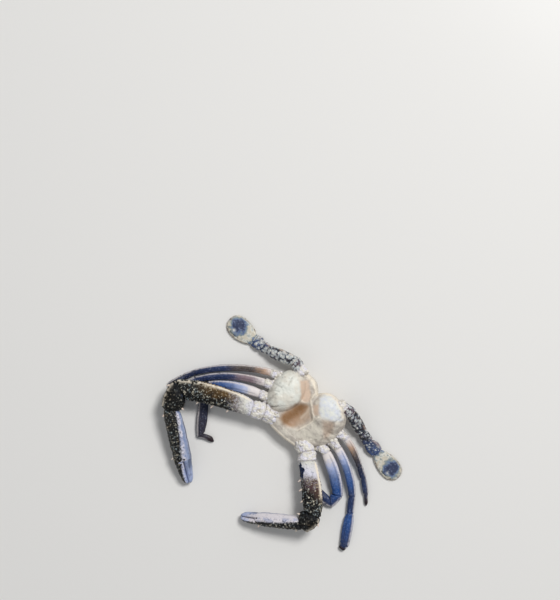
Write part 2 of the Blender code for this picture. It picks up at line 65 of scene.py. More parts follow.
# Limbs, as in the solids: root, size there, and lengths in millimetres with headings in degrees
# from straight ahead. Sizes are width and thickness, at the fullest place and at the end.
Length = namedtuple("Length", "name long heading pitch full end bow", defaults=(0.0,))
LIMBS = {
    "claw_right": ((-16.7, -22.4, 10.0), (13.0, 12.0), (
        ("coxa", 7.5, -73, 15.5, (13.2, 12.0), (11.5, 10.5)),
        ("ischium", 9.4, -66, 9, (13.6, 12.4), (12.0, 11.0)),
        ("merus", 56.9, -64.5, 2, (15.4, 13.0), (12.6, 11.0), -2.4),
        ("carpus", 16.9, 14.5, -1.7, (17.4, 12.6), (11.8, 10.0), -1.4),
        ("palm", 40.9, 52.5, -9, (14.2, 11.5), (13.6, 9.4)),
        ("finger", 19.6, 53.2, -14, (10.9, 8.4), (7.3, 6.4)),
    )),
    "claw_left": ((16.3, -23.9, 10.0), (13.0, 12.0), (
        ("coxa", 7.0, 67.7, 16.6, (13.2, 12.0), (12.0, 10.5)),
        ("ischium", 6.6, 39, 9, (14.6, 12.0), (13.4, 11.0)),
        ("merus", 41.2, 46, 5.6, (15.0, 12.6), (11.4, 11.0), 1.6),
        ("carpus", 11.2, -9, -7.7, (15.8, 12.6), (10.2, 10.5), 1.2),
        ("palm", 35.0, -53.7, -11.5, (10.8, 12.4), (9.0, 9.4)),
        ("finger", 12.9, -54.4, -20, (8.0, 8.4), (6.2, 6.6)),
    )),
    "walking_leg_1_right": ((-28.7, -14.4, 9.0), (8.0, 8.0), (
        ("coxa", 6.1, -76.4, 4.7, (8.0, 8.0), (6.6, 6.2)),
        ("merus", 40.6, -58.2, -8.4, (8.0, 6.2), (5.6, 4.8), -2.2),
        ("carpus", 10.0, 14.5, -4.6, (6.8, 5.0), (6.0, 4.4)),
        ("propodus", 30.3, 35.7, -0.4, (8.3, 4.9), (4.8, 3.6)),
        ("dactyl", 11.5, 104.4, -5, (4.2, 3.0), (0.9, 0.9), 0.8),
    )),
    "walking_leg_2_right": ((-31.8, -4.7, 9.0), (8.0, 8.0), (
        ("coxa", 5.8, -69.5, 4.9, (8.0, 8.0), (6.0, 6.0)),
        ("merus", 54.9, -51.5, -6.4, (5.6, 5.4), (4.4, 4.2), -4.0),
        ("carpus", 16.0, -18.7, -2.5, (5.2, 4.8), (4.6, 4.0)),
        ("propodus", 26.9, 32.9, -0.4, (6.4, 4.6), (4.0, 3.4)),
        ("dactyl", 12.8, 34.8, -4.5, (3.4, 2.8), (0.8, 0.8)),
    )),
    "walking_leg_3_right": ((-32.8, 4.2, 9.0), (7.6, 7.6), (
        ("coxa", 6.0, -73, 4.8, (7.6, 7.6), (5.6, 5.6)),
        ("merus", 60.7, -49.4, -6, (5.2, 5.0), (4.2, 3.8), -3.8),
        ("carpus", 9.0, -25.8, -3.2, (4.6, 4.2), (4.2, 3.8)),
        ("propodus", 13.5, -19.9, -1.1, (5.4, 4.2), (4.4, 3.4)),
    )),
    "walking_leg_1_left": ((28.1, -16.1, 9.0), (8.0, 8.0), (
        ("coxa", 5.9, 78.8, 4.9, (8.0, 8.0), (7.0, 6.4)),
        ("merus", 36.2, 56.2, -9.4, (9.2, 6.6), (7.0, 5.0), 1.8),
        ("carpus", 8.2, -6, -5, (8.0, 5.4), (6.4, 4.6)),
        ("propodus", 22.6, -85.5, -0.8, (8.4, 5.0), (6.0, 4.0)),
    )),
    "walking_leg_2_left": ((32.6, -7.6, 9.0), (8.0, 8.0), (
        ("coxa", 6.3, 80.2, 4.5, (8.0, 8.0), (6.2, 6.0)),
        ("merus", 40.6, 57.3, -8.5, (6.6, 5.8), (5.0, 4.6), 2.4),
        ("carpus", 13.5, 34, -2.5, (5.8, 5.0), (5.0, 4.2)),
        ("propodus", 25.5, 30.2, -0.9, (8.2, 4.8), (6.6, 3.6)),
        ("dactyl", 4.2, 2, -6, (5.6, 3.2), (4.0, 2.4)),
    )),
    "walking_leg_3_left": ((33.3, 1.2, 9.0), (7.6, 7.6), (
        ("coxa", 5.9, 91.6, 4.9, (7.6, 7.6), (5.4, 5.4)),
        ("merus", 25.3, 65.8, -12.6, (5.4, 5.0), (4.2, 3.8), 0.8),
        ("carpus", 10.2, 59.1, -6.8, (5.0, 4.2), (4.0, 3.4)),
        ("propodus", 12.8, 49.5, -1.8, (4.6, 3.8), (3.2, 2.8)),
        ("dactyl", 9.3, 41, -6, (3.0, 2.4), (0.8, 0.7)),
    )),
    "swimming_leg_right": ((-19.2, 17.6, 12.0), (9.0, 9.0), (
        ("coxa", 11.5, -106.8, -5, (9.4, 9.0), (7.6, 7.0)),
        ("merus", 22.7, -72.2, -14.1, (9.8, 7.4), (7.0, 5.6)),
        ("carpus", 5.9, -84.6, -14.6, (8.4, 6.4), (7.2, 5.0)),
        ("propodus", 8.7, -83.7, -9.9, (10.2, 4.6), (9.0, 2.8)),
        ("paddle", 25.4, -88.8, -3.1, (16.4, 1.7), (2.4, 1.2)),
    )),
    "swimming_leg_left": ((17.2, 18.0, 12.0), (9.0, 9.0), (
        ("coxa", 12.4, 93, -5.1, (9.4, 9.0), (7.6, 7.0)),
        ("merus", 18.6, 70.5, -17.0, (9.6, 7.4), (7.0, 5.6)),
        ("carpus", 9.1, 72.8, -9.5, (9.0, 6.4), (7.4, 5.0)),
        ("propodus", 11.4, 79.7, -7.5, (11.0, 4.6), (8.6, 2.8)),
        ("paddle", 25.6, 80.3, -3.0, (15.4, 1.7), (2.4, 1.2)),
    )),
}
# Gap at each end of a length, as a share of GAP
GAP_SHARES = {"finger": (0.9, 0.0), "palm": (0.5, 0.0)}
HALF_GAPS = (0.5, 0.5)
SWELL_SHARPNESS = 2.6
SECTION_POWER = 2.3
PADDLE_WIDEST_AT = 0.56
PADDLE_THINS_BY = 0.25
PADDLE_BLUNTNESS = 2.6
FINGER_GAP = 0.22
FINGER_SHIFT = 0.25

# Thorax, as in the solids
THORAX_MIDDLE = (0.0, -4.0)
THORAX_FRONT = 30.3
THORAX_OUTLINE = (
    (-90, 26.3), (-74, 27.0), (-60, 28.6), (-38, 28.4), (-21, 31.0), (-4, 32.2),
    (10, 33.4), (25, 34.2), (44, 32.0), (60, 28.4), (74, 24.6), (90, 17.6),
)
RIM_HEIGHT = 8.5
WALL_FULLNESS = 7.0
WALL_ROUNDNESS = 2.2
THORAX_SPREAD = 0.8
LOBES = (
    ((-22.5, -0.5), (15.5, 18.5), 22.8), ((17.5, 8.5), (17.0, 15.0), 22.4),
    ((20.0, -5.0), (15.5, 17.0), 19.0),
)
LOBE_STEEPNESS = 0.75
LOBE_FLATNESS = 1.6
# How softly the lobes run into each other and the trough; larger is harder
LOBE_MELT = 1.0
FRONT_LOBE_SLOPE = 1.3
PIT_SLOPE = 1.8
TROUGH_HEIGHT = 15.0
PIT_MIDDLE = (-1.8, -9.3)
PIT_RADII = (9.0, 13.5)
PIT_DEPTH = 2.5
SHOULDER_HEIGHT = 16.0
SHOULDER_FROM = 8.0
SHOULDER_TO = 20.0

# Length of one facet of each kind of piece, in millimetres
FACET = {
    "coxa": 0.32, "ischium": 0.32, "claw": 0.21, "finger": 0.25, "merus": 0.42,
    "carpus": 0.36, "propodus": 0.36, "dactyl": 0.3, "paddle": 0.3,
}
LEAST_FACETS = 24
THORAX_FACETS = (380, 220)
SPINE_FACETS = (16, 14)
BUN_FACETS = (28, 16)
KNOB_FACETS = (32, 20)

# Share of a sphere's rings that closes each end of a length, width of the dark seam there, and
# how far the cap has shrunk where a trimmed end shows its cut
CAPS = {"root": 0.14, "arm": 0.03, "hand": 0.025, "leg": 0.05, "dactyl": 0.02, "paddle": 0.03}
SEAM_WIDTH = 0.7
CUT_BELOW = 0.86

# Materials: roughness of every coat, and width of one blob of the marbling
COAT_ROUGHNESS = 0.22
MARBLE_WIDTH = 2.4

# Spines of the claws: length, how far along, degrees round it, reach
SPINES = {
    "claw_right": (
        ("merus", 0.33, 6, 2.8), ("merus", 0.57, 4, 3.0), ("merus", 0.80, 8, 2.4),
        ("carpus", 0.30, 165, 2.4), ("carpus", 0.75, 12, 2.0),
        ("palm", 0.12, 165, 2.0), ("palm", 0.93, 168, 2.4),
    ),
    "claw_left": (
        ("merus", 0.38, 174, 3.0), ("merus", 0.57, 176, 2.8), ("merus", 0.80, 172, 2.4),
        ("carpus", 0.30, 15, 2.4), ("carpus", 0.75, 168, 2.0),
        ("palm", 0.12, 15, 2.0), ("palm", 0.93, 12, 2.2),
    ),
}
SPINE_RADIUS = 1.3
SPINE_LEAN = 0.45
SPINE_SUNK = 1.2

# Hairs of the fringes: lengths as a share of the longest, half width and thickness, how deep the
# root is, and how much they stray
HAIR_LENGTHS = (0.5, 1.0)
HAIR_SIZE = (0.11, 0.07)
HAIR_SUNK = 0.35
HAIR_STRAY = 0.12
# How far hairs lean to the limb's end, more so past its middle, and how much that varies
HAIR_LEAN = 0.35
HAIR_LEAN_PAST_MIDDLE = 2.2
HAIR_LEAN_STRAY = 0.2

# How far along a length grains and granules lie
SCATTER_RANGE = (0.012, 0.988)
# Granules of the roots: places tried on a square mm, least distance, chance, radii, and rise as
# a share of the radius
GRANULE_TRIES = 2.0
GRANULE_SPACING = 1.25
GRANULE_CHANCE = 0.8
GRANULE_RADII = (0.6, 1.15)
GRANULE_RISE = 0.42

# Grains of the claws: radii, rises as a share of them, and shades
FINE_RADII = (0.34, 0.52)
FINE_RISE = 0.5
FINE_SHADES = (0.4, 1.0)
PALE_RADII = (0.45, 1.05)
PALE_RISES = (0.45, 0.7)
PALE_SHADES = (0.3, 1.0)
# Rows of grains behind: where they start and their span along a length, how much grains stray as
# a share of their distance, and for each row degrees round, distance, size and shades
ROW_START = 0.05
ROW_SPAN = 0.92
ROW_STRAY_ALONG = 0.25
EDGE_ROWS = ((160, 2.6, 0.95, (0.75, 1.0)), (128, 3.6, 0.75, (0.4, 0.9)))
ROW_RADII = (0.75, 1.1)
ROW_RISE = 0.65
ROW_STRAY = 0.06

# Joint skins: half thickness, and radius as a share of the limb's width and thickness there
BUN_THICKNESS = 0.9
BUN_SHARES = {"root": 0.5, "coxa": 0.515, "ischium": 0.515}
BUN_SHARE = 0.495

# Knobs at the roots: degrees round a claw and a leg, how much they stray, how far along they are,
# size as a share of the limb's width, stretch, bumps, and how deep they are sunk in the skin
CLAW_KNOBS = (8, 40, 72, 108, 140, 172)
LEG_KNOBS = (20, 90, 160)
KNOB_STRAY = 12
KNOB_PLACES = (-0.28, 0.10)
KNOB_SIZES = (0.19, 0.26)
KNOB_STRETCH = (0.8, 1.2)
KNOB_BUMPS = 0.24
KNOB_SHRINK = 0.66

# Range of the drawn seeds of noise
SEED_RANGE = (0.0, 50.0)
# Lowest points of soft and small pieces, just above the floor
LOWEST = 0.02
LOWEST_KNOB = 0.1

# View: straight down on the photographed patch of table, turned to the photograph's frame
VIEW_TURN = math.radians(40.5)
VIEW_FROM_THORAX = (-70.2, 49.8)
VIEW_HEIGHT = 1000.0
VIEW_LENS = 76.3
VIEW_CLIP_START = 0.01
FLOOR_SIZE = 6.0
FLOOR_DROP = -0.0002

# Lamps: name, place to the picture's right and up and its height, size, power
LAMPS = (("key", 0.75, 0.95, 1.75, 0.6, 34.0), ("fill", -0.9, -0.5, 1.2, 1.2, 1.8))
SKY = (0.92, 0.95, 1.0, 1.0)
SKY_STRENGTH = 0.32


def smoothstep(low, high, value):
    part = np.clip((value - low) / (high - low), 0.0, 1.0)
    return part * part * (3.0 - 2.0 * part)


def bell(value, middle, width):
    """1 at the middle, fading to both sides over the width."""
    return np.exp(-(((value - middle) / width) ** 2))


def smooth_between(points, at):
    """Read a smooth curve through (place, value) points."""
    places = [place for place, _ in points]
    number = int(np.clip(np.searchsorted(places, at) - 1, 0, len(points) - 2))
    (start, low), (end, high) = points[number], points[number + 1]
    before = points[max(number - 1, 0)]
    after = points[min(number + 2, len(points) - 1)]
    slope_in = (high - before[1]) / (end - before[0]) * (end - start)
    slope_out = (after[1] - low) / (after[0] - start) * (end - start)
    t = min(max((at - start) / (end - start), 0.0), 1.0)
    return (
        low * (2 * t**3 - 3 * t**2 + 1) + slope_in * (t**3 - 2 * t**2 + t)
        + high * (3 * t**2 - 2 * t**3) + slope_out * (t**3 - t**2)
    )


def clouds(points, width, seed=0.0):
    """Soft noise from -1 to 1 at each point; width is that of one cloud."""
    place = points / width + seed * np.array((1.0, 1.7, -1.3))
    cell = np.floor(place).astype(np.int64)
    part = place - cell
    part = part * part * part * (part * (part * 6.0 - 15.0) + 10.0)
    total = np.zeros(len(points))
    for corner in range(8):
        step = np.array((corner & 1, corner >> 1 & 1, corner >> 2 & 1))
        x, y, z = (cell + step).T
        mixed = (x * 73856093) ^ (y * 19349663) ^ (z * 83492791)
        mixed = ((mixed ^ (mixed >> 13)) * 1274126177) & 0x7FFFFFFF
        value = ((mixed ^ (mixed >> 11)) & 0xFFFFF) / 0xFFFFF * 2.0 - 1.0
        total += value * np.prod(np.where(step == 1, part, 1.0 - part), axis=1)
    return total


def lumps(points, *layers):
    """Layers of noise on top of each other, each with its width, seed and height."""
    return sum(clouds(points, width, seed) * height for width, seed, height in layers)


def line_distance(x, y, start, end):
    """How far each point is from the line between two others."""
    (ax, ay), (bx, by) = start, end
    run = (bx - ax) ** 2 + (by - ay) ** 2
    part = np.clip(((x - ax) * (bx - ax) + (y - ay) * (by - ay)) / run, 0.0, 1.0)
    return np.hypot(x - ax - part * (bx - ax), y - ay - part * (by - ay))


def stroke(x, y, width, route):
    """1 on a line through the route's points, fading over the width."""
    near = [line_distance(x, y, *ends) for ends in zip(route, route[1:])]
    return bell(np.minimum.reduce(near), 0.0, width)


def inside(x, y, soft, outline):
    """1 inside an outline, 0 outside it, with a soft edge."""
    sides = list(zip(outline, outline[1:] + outline[:1]))
    nearest = np.minimum.reduce([line_distance(x, y, *side) for side in sides])
    within = np.zeros(x.shape, dtype=bool)
    for (ax, ay), (bx, by) in sides:
        if ay != by:
            crosses = (y < max(ay, by)) & (y >= min(ay, by))
            within ^= crosses & (x < ax + (y - ay) / (by - ay) * (bx - ax))
    return smoothstep(-soft, soft, np.where(within, nearest, -nearest))


def body_place():
    """Where the thorax lies in the frame, in millimetres, read from its solid."""
    low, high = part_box("thorax")
    return np.array(((low[0] + high[0]) / 2 / MM, low[1] / MM + THORAX_FRONT, 0.0))


BODY_AT = body_place()


def deselect():
    if bpy.context.object and bpy.context.object.mode != "OBJECT":
        bpy.ops.object.mode_set(mode="OBJECT")
    bpy.ops.object.select_all(action="DESELECT")


def facets_of(tube, step, more=0.0):
    """Points round and rings for a tube, so that its facets are about one step long."""
    wide, thick = tube.length.full
    around = int(math.pi * (wide + thick) / 2 / step / 2) * 2
    rings = int((tube.long + more + (wide + thick) / 2) / step)
    return max(around, LEAST_FACETS), max(rings, LEAST_FACETS)


def press_sphere(name, facets, form):
    """Add a sphere and press each of its points to the place that form gives it."""
    deselect()
    around, rings = facets
    bpy.ops.mesh.primitive_uv_sphere_add(segments=around, ring_count=rings, radius=1.0)
    item = bpy.context.object
    item.name = item.data.name = name
    unit = np.empty(len(item.data.vertices) * 3)
    item.data.vertices.foreach_get("co", unit)
    unit = unit.reshape(-1, 3)
    polar = np.arccos(np.clip(unit[:, 2], -1.0, 1.0)) / math.pi
    points, marks = form(polar, np.arctan2(unit[:, 1], unit[:, 0]))
    placed = (points + BODY_AT) * MM
    item.data.vertices.foreach_set("co", placed.astype(np.float32).ravel())
    item.data.update()
    for mark, values in marks.items():
        layer = item.data.attributes.new(mark, "FLOAT", "POINT")
        layer.data.foreach_set("value", np.asarray(values, dtype=np.float32))
    bpy.ops.object.mode_set(mode="EDIT")
    bpy.ops.mesh.select_all(action="SELECT")
    bpy.ops.mesh.normals_make_consistent(inside=False)
    bpy.ops.object.mode_set(mode="OBJECT")
    bpy.ops.object.shade_smooth()
    return item


def finish_piece(item, material, node=None):
    item.data.materials.clear()
    item.data.materials.append(material)
    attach(item, "root")
    if node:
        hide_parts(node)


def join_pieces(items, name):
    deselect()
    for item in items:
        item.select_set(True)
    bpy.context.view_layer.objects.active = items[0]
    bpy.ops.object.join()
    items[0].name = items[0].data.name = name
    return items[0]


def swell(along):
    """0 where a length begins and ends, 1 in its middle."""
    return 1.0 - (np.abs(along - 0.5) / 0.5) ** SWELL_SHARPNESS


def unit_vector(values):
    values = np.asarray(values, dtype=float)
    return values / np.linalg.norm(values)


def heading_vector(length):
    pitch, turn = math.radians(length.pitch), math.radians(length.heading)
    flat = math.cos(pitch)
    return np.array((math.sin(turn) * flat, -math.cos(turn) * flat, math.sin(pitch)))


class Tube:
    """One length of a limb. Its ends lie in the planes that it shares with its neighbours."""

    def __init__(self, length, start, end, planes, start_size, reach):
        self.length = length
        self.start = start
        self.long = float(np.linalg.norm(end - start))
        self.axis = (end - start) / self.long
        self.side = unit_vector(np.cross((0.0, 0.0, 1.0), self.axis))
        self.up = np.cross(self.axis, self.side)
        self.planes = planes
        self.size = start_size
        self.gaps = GAP_SHARES.get(length.name, HALF_GAPS)
        self.reach = reach

    def size_along(self, along):
        length = self.length
        if length.name == "paddle":
            return self.paddle_size(along)
        both = []
        for first, full, last in zip(self.size, length.full, length.end):
            plain = first + (last - first) * along
            middle = (first + last) / 2 if length.name == "finger" else plain
            both.append(plain + (full - middle) * swell(along))
        return both

    def paddle_size(self, along):
        """A leaf: wide past its middle, with a blunt tip, and thin soon after its base."""
        (first_wide, first_thick), (full_wide, full_thick) = self.size, self.length.full
        thick = first_thick + (full_thick - first_thick) * np.minimum(along / PADDLE_THINS_BY, 1.0)
        rise = np.sin(np.minimum(along / PADDLE_WIDEST_AT, 1.0) * math.pi / 2)
        fall = np.clip((along - PADDLE_WIDEST_AT) / (1.0 - PADDLE_WIDEST_AT), 0.0, 1.0)
        wide = first_wide + (full_wide - first_wide) * rise
        tip = np.maximum(full_wide * np.sqrt(1.0 - fall**PADDLE_BLUNTNESS), self.length.end[0])
        return np.where(fall > 0.0, tip, wide), thick

    def place(self, along, aside, above):
        along, aside, above = np.broadcast_arrays(along, aside, above)
        aside = aside + self.length.bow * 4.0 * along * (1.0 - along)
        offset = np.outer(aside, self.side) + np.outer(above, self.up)
        first, last = self.planes
        begin = (GAP * self.gaps[0] - offset @ first) / (self.axis @ first)
        finish = self.long - (GAP * self.gaps[1] + offset @ last) / (self.axis @ last)
        point = self.start + offset + np.outer(begin + (finish - begin) * along, self.axis)
        point[:, 2] = np.maximum(point[:, 2], 0.0)
        return point

    def skin(self, along, azimuth, shrink=1.0, relief=0.0, shift=0.0, share=1.0):
        """The point of the skin, pushed out by the relief; shift and share make half a section."""
        wide, thick = self.size_along(along)
        power = 2.0 / SECTION_POWER
        across = np.sign(np.cos(azimuth)) * np.abs(np.cos(azimuth)) ** power
        above = np.sign(np.sin(azimuth)) * np.abs(np.sin(azimuth)) ** power
        aside = shift * wide + (across * wide * share / 2.0 + relief * np.cos(azimuth)) * shrink
        height = (above * thick / 2.0 + relief * np.sin(azimuth)) * shrink
        return self.place(along, aside, height)


def tubes_of(limb_name):
    root, size, rows = LIMBS[limb_name]
    lengths = [Length(*row) for row in rows]
    joints = [np.array(root)]
    ways = [heading_vector(length) for length in lengths]
    for way, length in zip(ways, lengths):
        joints.append(joints[-1] + way * length.long)
    planes = [ways[0]] + [unit_vector(a + b) for a, b in zip(ways, ways[1:])] + [ways[-1]]
    sizes = [size] + [length.end for length in lengths]
    total = sum(length.long for length in lengths)
    tubes = {}
    done = 0.0
    for number, length in enumerate(lengths):
        reach = (done / total, (done + length.long) / total)
        done += length.long
        start, end = joints[number:number + 2]
        tubes[length.name] = Tube(
            length, start, end, tuple(planes[number:number + 2]), sizes[number], reach
        )
    return tubes


def capped(polar, cap):
    """Spread a sphere's rings: a flat cap at each end and an even run between them."""
    along = np.clip((polar - cap) / (1.0 - 2.0 * cap), 0.0, 1.0)
    ends = np.minimum(polar, 1.0 - polar) / cap
    shrink = np.where(ends < 1.0, np.sin(np.minimum(ends, 1.0) * math.pi / 2), 1.0)
    return along, shrink


def rounded_edges(along, long, edge, depth):
    """How much the skin draws in near both ends, so that the edges aren't knife sharp."""
    near = np.minimum(along, 1.0 - along) * long
    return -depth * np.maximum(1.0 - near / edge, 0.0) ** 2


def flare(along, long, height, back, width):
    """A low collar just before the far end."""
    return height * bell((1.0 - along) * long, back, width)


def ahead_sign(limb_name):
    """The sign of a tube's own side that faces ahead: left of the heading on the right limbs."""
    return 1.0 if limb_name.endswith("right") else -1.0


def limb_marks(tube, along, azimuth, shrink, limb_name):
    low, high = tube.reach
    near = np.minimum(along, 1.0 - along) * tube.long
    ahead = np.cos(azimuth) * ahead_sign(limb_name)
    return {
        "along": along,
        "reach": low + (high - low) * along,
        "ahead": ahead,
        "up": np.sin(azimuth),
        "turn": np.arccos(np.clip(ahead, -1.0, 1.0)),
        "seam": bell(near, 0.0, SEAM_WIDTH),
        "cut": (shrink < CUT_BELOW).astype(float) * (along > 0.5),
    }


Grains = namedtuple("Grains", "seeds radii rises shades")


def add_pimples(points, grains):
    """Domed grains: how far each point is pushed out, and how near it is to a grain's top."""
    tree = kdtree.KDTree(len(points))
    for number, point in enumerate(points):
        tree.insert(point, number)
    tree.balance()
    push = np.zeros(len(points))
    top = np.zeros(len(points))
    for seed, radius, rise, shade in zip(*grains):
        for _, number, distance in tree.find_range(seed, radius):
            dome_here = max(1.0 - (distance / radius) ** 2, 0.0)
            push[number] = max(push[number], rise * math.sqrt(dome_here))
            top[number] = max(top[number], dome_here * shade)
    return push, top


def scatter(draw, tries, spacing, allowed, skin):
    """Places on a skin that keep their distance, where allowed(along, azimuth) lets them be."""
    alongs = np.array([draw.uniform(*SCATTER_RANGE) for _ in range(tries)])
    turns = np.array([draw.uniform(-math.pi, math.pi) for _ in range(tries)])
    chances = np.array([draw.random() for _ in range(tries)])
    points = skin(alongs, turns)
    kept = np.empty((0, 3))
    for along, turn, chance, point in zip(alongs, turns, chances, points):
        if chance > allowed(along, turn):
            continue
        if len(kept) and np.min(np.sum((kept - point) ** 2, axis=1)) < spacing**2:
            continue
        kept = np.vstack((kept, point))
    return kept


def draw_for(name):
    """A seeded draw of its own for each piece, so that one piece doesn't change another."""
    return random.Random(sum(ord(letter) * (number + 3) for number, letter in enumerate(name)))


# Materials


class Value:
    """A socket of a material that can be used in sums."""

    def __init__(self, finish, socket):
        self.finish = finish
        self.socket = socket

    def sum_node(self, operation, first, second):
        return self.finish.node("ShaderNodeMath", {"operation": operation}, first, second)

    def __add__(self, other):
        return self.sum_node("ADD", self, other)

    def __sub__(self, other):
        return self.sum_node("SUBTRACT", self, other)

    def __rsub__(self, other):
        return self.sum_node("SUBTRACT", other, self)

    def __mul__(self, other):
        return self.sum_node("MULTIPLY", self, other)

    __radd__ = __add__
    __rmul__ = __mul__

    def over(self, low, high):
        """0 at low, 1 at high, smooth between; low may be the larger."""
        return self.finish.node(
            "ShaderNodeMapRange", {"interpolation_type": "SMOOTHSTEP"}, self, low, high, 0.0, 1.0
        )


class Finish:
    """A material under construction. Its colours are named as in the settings."""

    def __init__(self, colours, name, coat, shine=0.35):
        self.colours = colours
        self.material = bpy.data.materials.new(name)
        self.material.use_nodes = True
        self.tree = self.material.node_tree
        self.shader = self.tree.nodes["Principled BSDF"]
        self.set_inputs({
            "Coat Weight": coat, "Coat Roughness": COAT_ROUGHNESS, "Specular IOR Level": shine,
        })

    def node(self, kind, settings, *values, output=0):
        """Add a node, set it, and give its open sockets values or links."""
        node = self.tree.nodes.new(kind)
        for setting, wanted in settings.items():
            setattr(node, setting, wanted)
        for socket, value in zip([socket for socket in node.inputs if socket.enabled], values):
            self.feed(socket, value)
        return Value(self, [socket for socket in node.outputs if socket.enabled][output])

    def feed(self, socket, value):
        """Give a socket a value, or link it to one."""
        if isinstance(value, Value):
            self.tree.links.new(value.socket, socket)
        else:
            socket.default_value = value

    def set_inputs(self, inputs):
        for name, value in inputs.items():
            self.feed(self.shader.inputs[name], value)

    def mark(self, name):
        return self.node("ShaderNodeAttribute", {"attribute_name": name}, output=2)

    def noise(self, width, detail=3.0, roughness=0.55):
        """Noise whose clouds are about this many millimetres across."""
        place = self.node("ShaderNodeTexCoord", {}, output=3)
        return self.node("ShaderNodeTexNoise", {}, place, 1.0 / (width * MM), detail, roughness)

    def cells(self, width):
        """Distance from the middle of the nearest of many cells, as a share of their width."""
        place = self.node("ShaderNodeTexCoord", {}, output=3)
        return self.node("ShaderNodeTexVoronoi", {}, place, 1.0 / (width * MM))

    def colour(self, value):
        return value if isinstance(value, Value) else (*getattr(self.colours, value), 1.0)

    def blend(self, factor, first, second):
        both = self.colour(first), self.colour(second)
        return self.node("ShaderNodeMix", {"data_type": "RGBA"}, factor, *both)

    def lay(self, base, *layers):
        """Lay colours over a base, each by its own factor."""
        for factor, colour in layers:
            base = self.blend(factor, base, colour)
        return base

    def ramp(self, value, stops):
        """Colours along a value; a new ramp has one stop at each end."""
        shade = self.node("ShaderNodeValToRGB", {}, value)
        elements = shade.socket.node.color_ramp.elements
        for position, _ in stops[1:-1]:
            elements.new(position)
        for element, (position, colour) in zip(elements, stops):
            element.position = position
            element.color = self.colour(colour)
        return shade

    def done(self, colour, roughness, height, distance, strength):
        """Set the colour, the roughness and the bump, and give the material."""
        rough = self.node("ShaderNodeBump", {}, strength, distance * MM, 1.0, height)
        self.set_inputs({"Base Color": colour, "Roughness": roughness, "Normal": rough})
        return self.material


def thorax_finish(colours):
    """Wet skeleton: white lobes with painted light on the right lobe's walls, a blue white facet,
    tan windows, bright rims, dark sutures.
    """
    finish = Finish(colours, "inner skeleton", 0.05)
    wide, soft, fine = finish.noise(9.0), finish.noise(3.5, 4.0), finish.noise(1.0)
    mark, blend = finish.mark, finish.blend
    base = finish.lay(
        blend((soft + wide - 0.5).over(0.30, 0.66), "skeleton_grey", "skeleton_cream"),
        (mark("cream") * soft.over(0.30, 0.60), "skeleton_green"),
        (mark("tan") * (0.85 + 0.6 * (soft - 0.5)), "tan"),
        (mark("brown") * (0.8 + 0.8 * (fine - 0.5)), "tan_dark"),
        (mark("pink") * (0.8 + 0.6 * (soft - 0.5)), "pink"),
        # The white mark also carries painted light on the right lobe's walls
        (mark("white"), blend(wide.over(0.40, 0.62), "skeleton_white", "skeleton_pale")),
        (mark("facet"), blend(soft.over(0.3, 0.7), "skeleton_blue", "skeleton_white")),
        (mark("rim") * (0.75 + 0.8 * (soft - 0.4)), "rim"),
        (mark("seam") * (0.55 + 0.9 * (fine - 0.3)), "suture"),
        (fine.over(0.62, 0.80) * (1.0 - mark("white")) * 0.25, "tan_dark"),
    )
    return finish.done(base, 0.44 + 0.2 * fine, soft * 0.5 + fine * 0.5, 0.35, 0.6)


def marbled_colour(finish, ground, share):
    """Round pale blobs on a dark ground; a larger share lets them grow into each other."""
    blob = finish.cells(MARBLE_WIDTH)
    soft, small = finish.noise(MARBLE_WIDTH * 1.6, 2.0), finish.noise(MARBLE_WIDTH * 0.4, 2.0)
    wander = (soft - 0.5) * 1.3 + (small - 0.5) * 0.9
    pale = (blob + wander).over(share + 0.10, share - 0.12)
    light = finish.blend(small.over(0.42, 0.58), "marble_blue", "marble_white")
    return finish.lay(ground, (small.over(0.50, 0.62) * 0.45, "lilac_shade"), (pale * 0.94, light))


def root_finish(colours, name="root joints"):
    """Knobbly cream and lilac white, with brown in the folds and a dark marbled patch."""
    finish = Finish(colours, name, 0.25)
    soft, fine = finish.noise(3.2, 4.0), finish.noise(0.8)
    mark = finish.mark
    base = finish.lay(
        finish.blend(soft.over(0.42, 0.62), "skeleton_pale", "lilac_white"),
        (mark("grain") * 0.4, "leg_pale"),
        (mark("stain") * fine.over(0.40, 0.58) * 0.75, "stain"),
        (mark("patch"), marbled_colour(finish, "purple", 0.50)),
        (mark("seam") * 0.2, "stain"),
    )
    return finish.done(base, 0.32 + 0.25 * fine, fine, 0.2, 0.5)


def grained_colour(finish, dark, warmth, share):
    """Pale grains and ragged flecks, each of its own brightness, on a dark mottled skin."""
    soft, fleck, fine = finish.noise(3.0), finish.noise(1.7, 1.0, 0.5), finish.noise(0.6)
    dim = finish.blend(warmth, "dark_grain", "olive")
    pale = finish.blend(soft.over(0.42, 0.58), "grain_pale", "grain_blue")
    pale = finish.blend(warmth * 0.75, pale, "grain_gold")
    ragged = fleck + (fine - 0.5) * 0.35
    grain = (finish.mark("grain") + (fine - 0.5) * 0.6).over(0.28, 0.80)
    return finish.lay(
        dark,
        (ragged.over(0.49, 0.62) * 0.45 * share, dim),
        (finish.mark("pimple").over(0.3, 0.9) * 0.4 * share, dim),
        (ragged.over(0.57, 0.65) * 0.5 * share, pale),
        (fine.over(0.60, 0.70) * 0.3 * share, pale),
        (grain * (0.25 + 0.75 * share), pale),
    )


